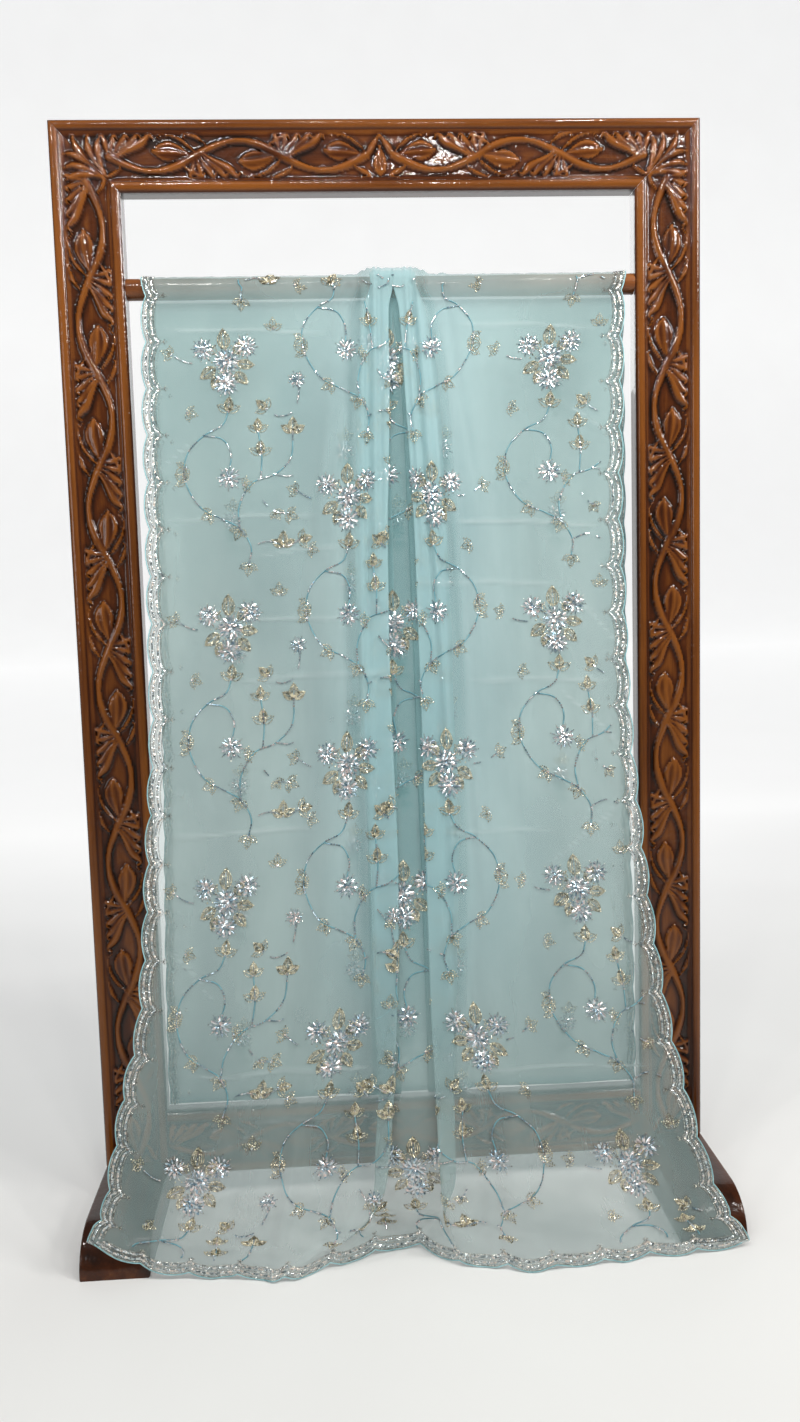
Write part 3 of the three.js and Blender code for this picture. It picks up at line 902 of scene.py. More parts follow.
    def _front_row(self, down: float) -> Array:
        """Points across the front at one place down it.

        Args:
            down: The place, from 0 to 1.

        Returns:
            The points.
        """
        x, out = self.section(FRONT_ROWS, down)
        at_rod = self.section(FRONT_ROWS, 0)[1]
        hem = HEM_ROWS.read(x / MM)
        sine, cosine = math.sin(self.leave_angle), math.cos(self.leave_angle)
        start = self.lay_radius * cosine + self.seam * sine
        fall = self.front_slant * down + self.front_sag * down**2
        hem_fall = hem["forward"] * MM - (start + self.front_slant + self.front_sag)
        top = self.rod_height + (self.lay_radius + at_rod) * sine - self.seam * cosine
        bottom = hem["lift"] * MM + self.hem_rise
        folds = self._folded(FRONT_FOLDS, x, down) + self._folded(FINE_FOLDS, x, down)
        folds = folds + self._creased(x, down)
        forward = start + fall + hem_fall * down**self.hem_bend + out + folds
        return np.stack([x, STAND_SET_BACK - forward, top + (bottom - top) * down], -1)

    def _turn_row(self, part: float) -> Array:
        """Points across the stretch on the rod.

        Args:
            part: The place, from 0 at its front to 1 at its back.

        Returns:
            The points.
        """
        front_x, front_out = self.section(FRONT_ROWS, 0)
        back_x, back_out = self.section(BACK_ROWS, 0)
        angle = self.leave_angle + (math.pi - self.leave_angle) * part
        x = front_x + (back_x - front_x) * part
        radius = self.lay_radius + front_out + (back_out - front_out) * part
        over = math.sin(angle)
        radius = radius + self.gather_rise * np.abs(self._folded(FINE_FOLDS, x, 0.0)) * over
        radius = radius + self.crown_rise * bell((x / MM - self.crown_x) / self.crown_spread) * over
        ripple = 1 + np.sin(x * 210 + 2 * np.sin(x * 31)) * np.sin(x * 37 + 1)
        radius = radius + self.ripple_rise * ripple * over
        return np.stack(
            [x, STAND_SET_BACK - radius * math.cos(angle), self.rod_height + radius * math.sin(angle)], -1
        )

    def lay_front(self) -> ClothGrid:
        """Lays the sheet from the back of the rod, over it and down to the hem.

        Returns:
            The front.
        """
        turn = [self._turn_row(part) for part in np.linspace(1, 0, self.turn_steps)]
        count = round(1 / self.front_step)
        self.front_places = np.arange(1, count + 1) / count
        fall = [self._front_row(down) for down in self.front_places]
        self.front = ClothGrid(np.array(turn + fall))
        self.front_start = float(self.front.down[len(turn) - 1])
        return self.front

    def lay_back(self) -> ClothGrid:
        """Lays the sheet down the back, round its bottom fold and up again to just under the rod.

        Returns:
            The back.
        """
        axis = STAND_SET_BACK + self.lay_radius - self.back_hem_radius
        places = np.linspace(0, 1, round(1 / self.back_step))
        sections = [self.section(BACK_ROWS, down) for down in places]
        folds = [self._folded(BACK_FOLDS, x, down) for (x, _), down in zip(sections, places)]
        rows = []
        for (x, out), fold, down in zip(sections, folds, places):
            z = (self.rod_height - self.seam) * (1 - down) + self.back_hem_centre * down
            rows.append(np.stack([x, axis + self.back_hem_radius + out + fold, np.full_like(x, z)], -1))
        x, out = sections[-1]
        for angle in np.linspace(0, math.pi, self.hem_steps)[1:-1]:
            y = axis + (self.back_hem_radius + out) * math.cos(angle) + folds[-1]
            drop = np.minimum(self.back_hem_radius + out, self.back_hem_drop)
            rows.append(np.stack([x, y, self.back_hem_centre - drop * math.sin(angle)], -1))
        for (x, out), fold, down in list(zip(sections, folds, places))[::-1]:
            z = self.back_end_height * (1 - down) + self.back_hem_centre * down
            rows.append(np.stack([x, axis - self.back_hem_radius - out + fold, np.full_like(x, z)], -1))
        self.back = ClothGrid(np.array(rows), scallop=self.back_scallop, outer=-1)
        return self.back

    def bulge(self, depth: float, length: Array, whole: float, tips: Sequence[float] = ()) -> Array:
        """How far an edge stands out in scallops, and in points at its corners.

        Args:
            depth: The scallops' depth.
            length: Places along the edge.
            whole: The edge's whole length.
            tips: The places of its corner points.

        Returns:
            The distance outwards at each place.
        """
        lobes = round(whole / self.scallop_pitch)
        out = depth * np.abs(np.sin(math.pi * lobes * length / whole)) ** 0.8
        for tip in tips:
            out = out + self.corner_reach * np.clip(1 - np.abs(length - tip) / self.corner_run, 0, 1) ** 2
        return out

    def scalloped(self, grid: ClothGrid, with_hem: bool) -> Array:
        """Moves a sheet's side edges, and its hem, out into scallops.

        Args:
            grid: The sheet.
            with_hem: True for the sheet that ends in the scalloped hem.

        Returns:
            Its points.
        """
        points = grid.points.copy()
        tips = [grid.length] if with_hem else []
        for edge, beside in ((0, 1), (-1, -2)):
            away = unit_length(grid.points[:, edge] - grid.points[:, beside])
            points[:, edge] += away * self.bulge(grid.scallop, grid.down, grid.length, tips)[:, None]
        if with_hem:
            away = unit_length(grid.points[-1] - grid.points[-2])
            points[-1] += away * self.bulge(grid.scallop, grid.across[-1], grid.flat_width)[:, None]
        return points

    def _pleat_marks(self, points: Array) -> tuple[Array, Array]:
        """Marks where plies lie on one another, and where shade is painted between and beside them and on
        the upper cloth.

        Args:
            points: The sheet's rows of points.

        Returns:
            Numbers from 0 to 1 for each point, for the plies and for the painted shade.
        """
        fold = 2 * self.arc_steps + self.ply_steps
        left, right = self.side_steps + 1, points.shape[1] - self.side_steps - 1
        x = points[..., 0]
        gather, painted_shade = np.zeros_like(x), np.zeros_like(x)
        inner_left, inner_right = x[:, left + fold - 1, None], x[:, right - fold, None]
        gather[:, left:left + fold] = 1
        gather[:, right - fold:right] = 1
        gather[:, :left] = smooth((x[:, :left] - inner_left + self.ply_edge) / self.ply_soft)
        gather[:, right:] = smooth((inner_right + self.ply_edge - x[:, right:]) / self.ply_soft)
        # Painted shade in the recess between the plies, in strips beside them and on the upper cloth away
        # from the middle
        painted_shade[:, left + fold - 2:right - fold + 2] = 1
        beside = (x[:, :left] - inner_left + self.gutter_off) / self.gutter_half
        painted_shade[:, :left] = self.gutter_shade * bell(beside)
        beside = (x[:, right:] - inner_right - self.gutter_off) / self.gutter_half
        painted_shade[:, right:] = self.gutter_shade * bell(beside)
        fade = smooth((points[..., 2] - self.fade_from) / self.fade_reach)
        middle = bell((x - self.middle_x) / self.middle_half)
        shaded = smooth((points[..., 2] - self.shade_from) / self.shade_reach)
        shaded *= smooth((self.rod_height - points[..., 2]) / self.shade_end)
        painted_shade = np.maximum(painted_shade, self.top_shade * shaded * (1 - middle))
        gather = np.maximum(gather, self.middle_tint * middle)
        return gather * fade * self.gather_tint, painted_shade * fade * self.painted_shade_strength

    def _crease_marks(self, grid: ClothGrid, with_creases: bool) -> Array:
        """Marks along the sharp creases, where a painted highlight lightens the cloth.

        Args:
            grid: The sheet.
            with_creases: True where it has creases.

        Returns:
            A number from 0 to 1 for each point.
        """
        marks = np.zeros(grid.across.shape)
        if with_creases:
            for row, down in zip(range(len(marks))[-len(self.front_places):], self.front_places):
                marks[row] = self._creased(grid.points[row, :, 0], down) / self.crease_full
        return np.clip(marks, 0, 1) * self.crease_highlight_share

    def _sheet(self, name: str, grid: ClothGrid, with_hem: bool, finish: Finish) -> Piece:
        """One sheet of the silk as a piece.

        Args:
            name: The piece's name.
            grid: The sheet.
            with_hem: True for the front.
            finish: Its material.

        Returns:
            The piece.
        """
        points = self.scalloped(grid, with_hem)
        rows, columns = points.shape[:2]
        mesh = mesh_from(name, points.reshape(-1, 3), [grid_faces(rows, columns)])
        flat = np.stack([grid.across, np.repeat(grid.down[:, None], columns, 1)], -1)
        put_uv(mesh, flat.reshape(-1, 2))
        gather, painted_shade = self._pleat_marks(points)
        # On the back, shade is painted along its bottom fold
        if not with_hem:
            turned = bell((points[..., 2] - self.back_hem_centre) / self.fold_shade_reach)
            painted_shade = np.maximum(painted_shade, turned)
        put_values(mesh, "gather", gather.reshape(-1))
        put_values(mesh, "painted_shade", painted_shade.reshape(-1))
        put_values(mesh, "crease", self._crease_marks(grid, with_hem).reshape(-1))
        return add_piece(name, mesh, finish)

    def build(self) -> tuple[Piece, Piece]:
        """Both sheets of the silk.

        Returns:
            The front with the stretch over the rod, and the back.
        """
        front = self._sheet("silk_front", self.lay_front(), True, SheerSilk("front_silk", 0.44).build())
        back = self._sheet("silk_back", self.lay_back(), False, SheerSilk("back_silk", 0.62).build())
        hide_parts("front_fall", "rod_turn")
        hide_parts("back_fall")
        return front, back


# The embroidery
class Stud(Enum):
    """The small hard things that are sewn on the silk."""

    SEQUIN = "sequins"
    BEAD = "beads"
    PETAL = "petals"
    BUGLE = "bugles"


@dataclass
class StudTree:
    """A Geometry Nodes tree that sets one kind of stud on every point of a mesh."""

    kind: Stud
    width: float
    rise: float
    bead_sides: int = 5
    disc_sides: int = 7
    petal_narrow: float = 0.42

    @staticmethod
    def _cone(tree: bpy.types.NodeTree, inlet: bpy.types.Node, sides: int) -> Socket:
        """Adds the node of an open cone of the stud's width and rise.

        Args:
            tree: The tree.
            inlet: Its group input.
            sides: Number of sides.

        Returns:
            The cone's mesh.
        """
        cone = tree.nodes.new("GeometryNodeMeshCone")
        cone.fill_type = "NONE"
        cone.inputs["Vertices"].default_value = sides
        cone.inputs["Radius Top"].default_value = 0
        tree.links.new(inlet.outputs["Width"], cone.inputs["Radius Bottom"])
        tree.links.new(inlet.outputs["Rise"], cone.inputs["Depth"])
        return cone.outputs["Mesh"]

    def _shape(self, tree: bpy.types.NodeTree, inlet: bpy.types.Node) -> Socket:
        """Adds the nodes of one stud, its long side along X and its outer side along Z.

        Args:
            tree: The tree.
            inlet: Its group input, with Width and Rise.

        Returns:
            The stud's geometry.
        """
        if self.kind is Stud.BEAD:
            return self._cone(tree, inlet, self.bead_sides)
        form = tree.nodes.new("GeometryNodeTransform")
        if self.kind is Stud.BUGLE:
            tube = tree.nodes.new("GeometryNodeMeshCylinder")
            tube.fill_type = "NONE"
            tube.inputs["Vertices"].default_value = self.bead_sides
            tree.links.new(inlet.outputs["Rise"], tube.inputs["Radius"])
            tree.links.new(inlet.outputs["Width"], tube.inputs["Depth"])
            form.inputs["Rotation"].default_value = (0, math.pi / 2, 0)
            tree.links.new(tube.outputs["Mesh"], form.inputs["Geometry"])
            return form.outputs["Geometry"]
        form.inputs["Scale"].default_value = (1, self.petal_narrow if self.kind is Stud.PETAL else 1, 1)
        tree.links.new(self._cone(tree, inlet, self.disc_sides), form.inputs["Geometry"])
        return form.outputs["Geometry"]

    def build(self) -> bpy.types.NodeTree:
        """Builds the tree, with Width, Rise and Finish as its inputs.

        Returns:
            The tree.
        """
        tree = bpy.data.node_groups.new(f"set_{self.kind.value}", "GeometryNodeTree")
        face = tree.interface
        face.new_socket("Geometry", in_out="INPUT", socket_type="NodeSocketGeometry")
        for name in ("Width", "Rise"):
            face.new_socket(name, in_out="INPUT", socket_type="NodeSocketFloat")
        face.new_socket("Finish", in_out="INPUT", socket_type="NodeSocketMaterial")
        face.new_socket("Geometry", in_out="OUTPUT", socket_type="NodeSocketGeometry")
        inlet = tree.nodes.new("NodeGroupInput")
        outlet = tree.nodes.new("NodeGroupOutput")
        turn = tree.nodes.new("GeometryNodeInputNamedAttribute")
        turn.data_type = "FLOAT_VECTOR"
        turn.inputs["Name"].default_value = "turn"
        size = tree.nodes.new("GeometryNodeInputNamedAttribute")
        size.inputs["Name"].default_value = "size"
        spots = tree.nodes.new("GeometryNodeInstanceOnPoints")
        real = tree.nodes.new("GeometryNodeRealizeInstances")
        finish = tree.nodes.new("GeometryNodeSetMaterial")
        link = tree.links.new
        link(inlet.outputs["Geometry"], spots.inputs["Points"])
        link(self._shape(tree, inlet), spots.inputs["Instance"])
        link(turn.outputs["Attribute"], spots.inputs["Rotation"])
        link(size.outputs["Attribute"], spots.inputs["Scale"])
        link(spots.outputs["Instances"], real.inputs["Geometry"])
        link(real.outputs["Geometry"], finish.inputs["Geometry"])
        link(inlet.outputs["Finish"], finish.inputs["Material"])
        link(finish.outputs["Geometry"], outlet.inputs["Geometry"])
        return tree

    def set_on(self, name: str, points: Array, turns: Array, sizes: Array,
               finish: Finish) -> Mesh:
        """Sets the studs and returns them as one plain mesh.

        Args:
            name: The mesh's name.
            points: Where they sit.
            turns: Their Euler angles.
            sizes: Their sizes, 1 for the tree's own.
            finish: Their material.

        Returns:
            The joined studs.
        """
        spots = bpy.data.meshes.new(name + "_spots")
        spots.vertices.add(len(points))
        spots.vertices.foreach_set("co", points.astype(np.float32).reshape(-1))
        put_values(spots, "turn", turns)
        put_values(spots, "size", sizes)
        holder = put_in_scene(name + "_holder", spots)
        modifier = holder.modifiers.new("studs", "NODES")
        modifier.node_group = self.build()
        values = {"Width": self.width, "Rise": self.rise, "Finish": finish}
        for socket in modifier.node_group.interface.items_tree:
            if socket.in_out == "INPUT" and socket.name in values:
                modifier[socket.identifier] = values[socket.name]
        graph = bpy.context.evaluated_depsgraph_get()
        mesh = bpy.data.meshes.new_from_object(holder.evaluated_get(graph))
        mesh.name = name
        bpy.data.objects.remove(holder)
        bpy.data.meshes.remove(spots)
        return mesh


def euler_angles(axes: Array) -> Array:
    """Euler XYZ angles of rotation matrices.

    Args:
        axes: The matrices, n x 3 x 3.

    Returns:
        Three angles for each.
    """
    pitch = np.arcsin(np.clip(-axes[:, 2, 0], -1, 1))
    return np.stack([np.arctan2(axes[:, 2, 1], axes[:, 2, 2]), pitch,
                     np.arctan2(axes[:, 1, 0], axes[:, 0, 0])], -1)


def curve_through(stops: Sequence[Sequence[float]], step: float) -> Array:
    """A smooth line through points of the plane, at even steps.

    Args:
        stops: The points.
        step: Distance between the points that come back.

    Returns:
        Points along the line.
    """
    given = np.array(stops, float)
    if len(given) < 3:
        given = np.stack([given[0], given.mean(0), given[-1]])
    ends = np.concatenate([[2 * given[0] - given[1]], given, [2 * given[-1] - given[-2]]])
    part = np.linspace(0, 1, 12, endpoint=False)[:, None]
    pieces = []
    for k in range(len(given) - 1):
        a, b, c, d = ends[k:k + 4]
        pieces.append(0.5 * (2 * b + (c - a) * part + (2 * a - 5 * b + 4 * c - d) * part**2
                             + (3 * b - a - 3 * c + d) * part**3))
    line = np.concatenate(pieces + [given[-1:]])
    lengths = np.concatenate([[0], np.cumsum(np.linalg.norm(np.diff(line, axis=0), axis=1))])
    even = np.linspace(0, lengths[-1], max(2, round(lengths[-1] / step) + 1))
    return np.stack([np.interp(even, lengths, line[:, k]) for k in range(2)], -1)


@dataclass
class Sewing:
    """What is sewn on one sheet, gathered on the flat cloth before it is laid on the hung one."""

    grid: ClothGrid
    top: float
    bottom: float
    margin: float = 0.034
    seed: int = 5
    name: str = "front"
    studs: dict[str, list[Array]] = field(default_factory=dict)
    threads: list[Array] = field(default_factory=list)

    def add(self, group: str, places: Array, headings: Array, sizes: Array | float = 1.0) -> None:
        """Adds studs.

        Args:
            group: The name of the group they are made in.
            places: Across and down, n x 2.
            headings: The way their long side runs, as an angle from across towards down.
            sizes: Their sizes.
        """
        rows = np.column_stack([places, np.broadcast_to(headings, len(places)),
                                np.broadcast_to(sizes, len(places))])
        self.studs.setdefault(group, []).append(rows)

    def inside(self, places: Array) -> Array:
        """Tells which places are clear of the border.

        Args:
            places: Across and down, n x 2.

        Returns:
            True for each one that is.
        """
        across, down = places[:, 0], places[:, 1]
        clear = (across > self.margin) & (across < self.grid.flat_width - self.margin)
        return clear & (down > self.top) & (down < self.bottom - self.margin)

    def lay_studs(self, group: str, tree: StudTree, lift: float, tilt: float,
                  finish: Finish) -> Mesh:
        """Lays one group on the hung cloth.

        Args:
            group: The group's name.
            tree: The tree that makes its studs.
            lift: Metres that their middles stand off the cloth.
            tilt: How unevenly they lie, in radians.
            finish: Their material.

        Returns:
            The joined mesh.
        """
        rows = np.concatenate(self.studs[group])
        points, axes = self.grid.lay(rows[:, 0], rows[:, 1], lift)
        chance = np.random.default_rng(self.seed)
        sway = chance.normal(0, tilt, (len(rows), 2))
        out = axes[..., 2] + sway[:, :1] * axes[..., 0] + sway[:, 1:] * axes[..., 1]
        out = unit_length(out)
        ahead = axes[..., 0] * np.cos(rows[:, 2:3]) - axes[..., 1] * np.sin(rows[:, 2:3])
        ahead -= out * (ahead * out).sum(1, keepdims=True)
        ahead = unit_length(ahead)
        turned = np.stack([ahead, np.cross(out, ahead), out], -1)
        return tree.set_on(f"{self.name}_{group}", points, euler_angles(turned), rows[:, 3], finish)

    def cord(self, lines: Sequence[Array], radius: float, sides: int, lift: float) -> Mesh:
        """Thin round cords that lie on the cloth.

        Args:
            lines: Their courses on the flat cloth.
            radius: Their radius.
            sides: Number of sides.
            lift: Metres that their middles stand off the cloth.

        Returns:
            The joined mesh.
        """
        all_points, all_faces, start = [], [], 0
        turn = np.linspace(0, 2 * math.pi, sides, endpoint=False)
        for line in lines:
            points, axes = self.grid.lay(line[:, 0], line[:, 1], lift)
            ahead = unit_length(np.gradient(points, axis=0))
            out = unit_length(axes[..., 2] - ahead * (axes[..., 2] * ahead).sum(1, keepdims=True))
            beside = np.cross(ahead, out)
            ring = points[:, None] + radius * (
                np.cos(turn)[None, :, None] * beside[:, None] + np.sin(turn)[None, :, None] * out[:, None]
            )
            all_points.append(ring.reshape(-1, 3))
            all_faces.append(grid_faces(len(line), sides, closed=True)[:, ::-1] + start)
            start += len(line) * sides
        return mesh_from("cord", np.concatenate(all_points), [np.concatenate(all_faces)])


# A bunch, in mm from its middle: loose beads, flower heads with their petals and size, and leaves with their
# heading and length
FILLING = (
    (-18, -22), (-14, -27), (-8, -12), (-12, -6), (12, -26), (20, -32), (25, -12), (29, -7), (31, 2),
    (24, 14), (17, 29), (12, 34), (-9, 20), (-14, 34), (-20, 22), (-26, 12), (-21, 1), (-26, -4),
    (-30, 2), (9, 17), (-5, 18),
)
HEADS = (((-34, -20), 9, 1.0), ((35, -25), 9, 1.05), ((3, 0), 10, 1.2), ((1, 37), 9, 1.15))
LEAVES = (
    ((0, -20), -1.57, 34), ((16, -12), -0.95, 25), ((20, 4), 0.1, 27), ((17, 18), 0.85, 27),
    ((-16, 10), 2.5, 30), ((-13, 24), 1.95, 22), ((-14, -12), -2.2, 20),
)
# What grows round a bunch, in mm from its middle: vines, vines without a thread, sprigs with their heading
# and size, and small flowers with their size
VINES = (
    ((4, 96), (-8, 122), (-42, 140), (-74, 176), (-78, 226), (-50, 276), (-6, 300), (24, 318), (44, 352),
     (40, 384)),
    ((-42, 140), (-8, 148), (8, 176), (4, 206)),
    ((24, 318), (22, 276), (46, 232), (88, 216), (118, 184), (122, 136)),
    ((62, 222), (64, 178), (58, 134)),
)
BARE_VINES = (
    ((88, 216), (112, 220), (128, 214)),
    ((44, 352), (76, 342), (108, 352), (136, 340)),
    ((74, 92), (96, 106), (124, 96), (134, 62), (132, 34)),
    ((-52, 4), (-74, 0), (-98, -14)),
    ((66, 266), (86, 286), (112, 290)),
)
SPRIGS = (
    ((4, 96), -1.5, 1.25), ((122, 136), -1.57, 1.3), ((58, 134), -1.6, 1.1), ((62, 178), -1.57, 1.2),
    ((40, 384), 1.7, 1.0), ((-98, -14), 3.5, 0.9), ((-76, 200), 2.6, 1.0), ((-78, 226), -2.5, 1.0),
    ((136, 340), -0.2, 1.1), ((104, 352), -1.57, 1.3), ((112, 290), 0.4, 1.0), ((74, 92), -2.4, 1.1),
    ((-30, 288), 2.7, 1.0), ((88, 286), 1.0, 0.8), ((24, 318), 2.0, 1.0), ((96, -60), -1.57, 1.0),
    ((-72, 96), 0.3, 0.9), ((30, 236), -0.2, 0.9),
)
SMALL_FLOWERS = (((4, 222), 1.05), ((131, 36), 0.75))


@dataclass
class FlowerSprays:
    """Flower heads, leaves, sprigs and vines, placed on the flat cloth. Lengths in metres."""

    sewing: Sewing
    petal_reach: float = 0.0085
    head_size: float = 1.28
    bunch_size: float = 1.14
    bead_gap: float = 0.0025
    stitch_gap: float = 0.0085
    leaf_share: float = 0.29
    sprig_size: float = 1.65
    stitch_runs: float = 0.055
    filled_from: float = 0.0235
    crown_place: float = 0.606
    crown_half: float = 0.22
    crown_end: float = 0.15
    bunch_reach: float = 0.05
    petal_at: float = 1.15
    ring_at: float = 0.5
    tip_at: float = 1.85
    bugle_gap: float = 0.009
    sprig_leaf: tuple[float, float] = (0.0134, 0.0038)
    stitch_share: float = 0.6
    stagger: float = 0.52
    end_clear: float = 0.1

    def flower(self, centre: Array, petals: int, size: float) -> None:
        """A round flower head: petals, a ring of sequins, a beaded eye and beads at the tips.

        Args:
            centre: Its middle.
            petals: How many petals it has.
            size: 1 for a usual head.
        """
        size = size * self.head_size
        angle = 2 * math.pi * np.arange(petals) / petals + centre[0] * 40
        ray = np.stack([np.cos(angle), np.sin(angle)], -1)
        self.sewing.add("petals", centre + ray * self.petal_reach * size * self.petal_at, angle, size)
        ring = centre + ray[::2] * self.petal_reach * size * self.ring_at
        self.sewing.add("sequins", ring, angle[::2], size * 0.85)
        tip = angle + math.pi / petals
        outer = np.stack([np.cos(tip), np.sin(tip)], -1) * self.petal_reach * size * self.tip_at
        self.sewing.add("bugles", centre + outer * 0.86, tip, size)
        self.sewing.add("silver", centre + outer * 1.12, tip, 0.9)
        self.sewing.add("sequins", centre[None], np.zeros(1), size * 0.9)

    def leaf(self, base: Array, heading: float, length: float, width: float) -> None:
        """A pointed leaf outlined and filled with beads, with bugles along its vein.

        Args:
            base: Where it starts.
            heading: The way it points.
            length: Its length.
            width: Its half width.
        """
        ahead = np.array([math.cos(heading), math.sin(heading)])
        side = np.array([-ahead[1], ahead[0]])
        large = length > self.filled_from
        count = max(3, round(length / (self.bead_gap if large else self.bead_gap * 1.25)))
        part = np.linspace(0, 1, count)
        swell = np.sin(math.pi * part**0.85) ** 0.8 * width
        spine = base + part[:, None] * length * ahead
        for way in (-1, 1):
            self.sewing.add("gold", spine + way * swell[:, None] * side, heading + way * 0.4, 1.0)
            if large:
                for share in (0.3, 0.66):
                    filling = spine[1:-1] + way * swell[1:-1, None] * share * side
                    self.sewing.add("gold", filling, heading, 0.95)
        if large:
            vein = base + np.arange(1, round(length / self.bugle_gap))[:, None] * self.bugle_gap * ahead
            self.sewing.add("bugles", vein, np.full(len(vein), heading), 0.8)
        else:
            self.sewing.add("gold", spine[1:-1], heading, 0.95)

    def sprig(self, base: Array, heading: float, size: float = 1.0) -> None:
        """Three small leaves that open from one point.

        Args:
            base: The point.
            heading: The way the middle one points.
            size: 1 for a usual sprig.
        """
        for turn, share in ((0.0, 1.0), (-1.05, 0.85), (1.05, 0.85)):
            size_here = size * share * self.sprig_size
            length, width = self.sprig_leaf
            self.leaf(base, heading + turn, length * size_here, width * size_here)
        self.sewing.add("sequins", base[None], np.zeros(1), 0.8)

    def cluster(self, centre: Array, mirror: int) -> None:
        """A large bunch: four flower heads with leaves round and between them.

        Args:
            centre: Its middle.
            mirror: 1 or -1, the way it faces.
        """
        across = np.array([mirror, 1]) * self.bunch_size
        self.sewing.add("gold", centre + np.array(FILLING) * MM * across, 0.0, 1.05)
        for place, petals, size in HEADS:
            self.flower(centre + np.array(place) * MM * across, petals, size)
        for place, turn, length in LEAVES:
            heading = turn if mirror > 0 else math.pi - turn
            length *= self.bunch_size * MM
            self.leaf(centre + np.array(place) * MM * across, heading, length, length * self.leaf_share)

    def vine(self, stops: Sequence[Sequence[float]], with_thread: bool = True) -> None:
        """A line of bright stitches, in runs.

        Args:
            stops: Points that it runs through.
            with_thread: True for a thread under the stitches.
        """
        line = curve_through(stops, 0.004)
        line = line[self.sewing.inside(line)]
        if len(line) < 4:
            return
        if with_thread:
            self.sewing.threads.append(line)
        even = curve_through(line[::3], self.stitch_gap * self.stitch_share)
        ahead = np.gradient(even, axis=0)
        heading = np.arctan2(ahead[:, 1], ahead[:, 0])
        run = np.arange(len(even)) * self.stitch_gap * self.stitch_share / self.stitch_runs + even[0, 0] * 30
        shown = np.sin(2 * math.pi * run) > (0.1 if with_thread else -0.5)
        self.sewing.add("stitches", even[shown], heading[shown], 1.0)

    def unit(self, centre: Array, mirror: int) -> None:
        """One repeat: a bunch and what grows round it.

        Args:
            centre: The bunch's middle.
            mirror: 1 or -1, the way it faces.
        """

        def at(*stops: tuple[float, float]) -> list[Array]:
            """Places given in mm from the bunch."""
            return [centre + np.array([x * mirror, y]) * MM for x, y in stops]

        def way(angle: float) -> float:
            """A heading, mirrored with the unit."""
            return angle if mirror > 0 else math.pi - angle

        if self.sewing.inside(centre[None] - [0, self.bunch_reach])[0]:
            self.cluster(centre, mirror)
        for stops in VINES:
            self.vine(at(*stops))
        for stops in BARE_VINES:
            self.vine(at(*stops), with_thread=False)
        for place, angle, size in SPRIGS:
            spot = at(place)[0]
            on_crown = abs(spot[0] - self.crown_place) < self.crown_half and spot[1] < self.crown_end
            if self.sewing.inside(spot[None])[0] and not on_crown:
                self.sprig(spot, way(angle), size)
        for place, size in SMALL_FLOWERS:
            spot = at(place)[0]
            if self.sewing.inside(spot[None])[0]:
                self.flower(spot, 8, size)

    def scatter(self, columns: Sequence[float], first: float, pitch: float) -> None:
        """Repeats in columns, every other one set off.

        Args:
            columns: The columns' places across.
            first: Where the first row is, from the top.
            pitch: From one row to the next.
        """
        for index, column in enumerate(columns):
            down = self.sewing.top + first + (index % 2 * self.stagger - 1) * pitch
            while down < self.sewing.bottom - self.end_clear:
                self.unit(np.array([column, down]), 1 if index % 4 < 2 else -1)
                down += pitch


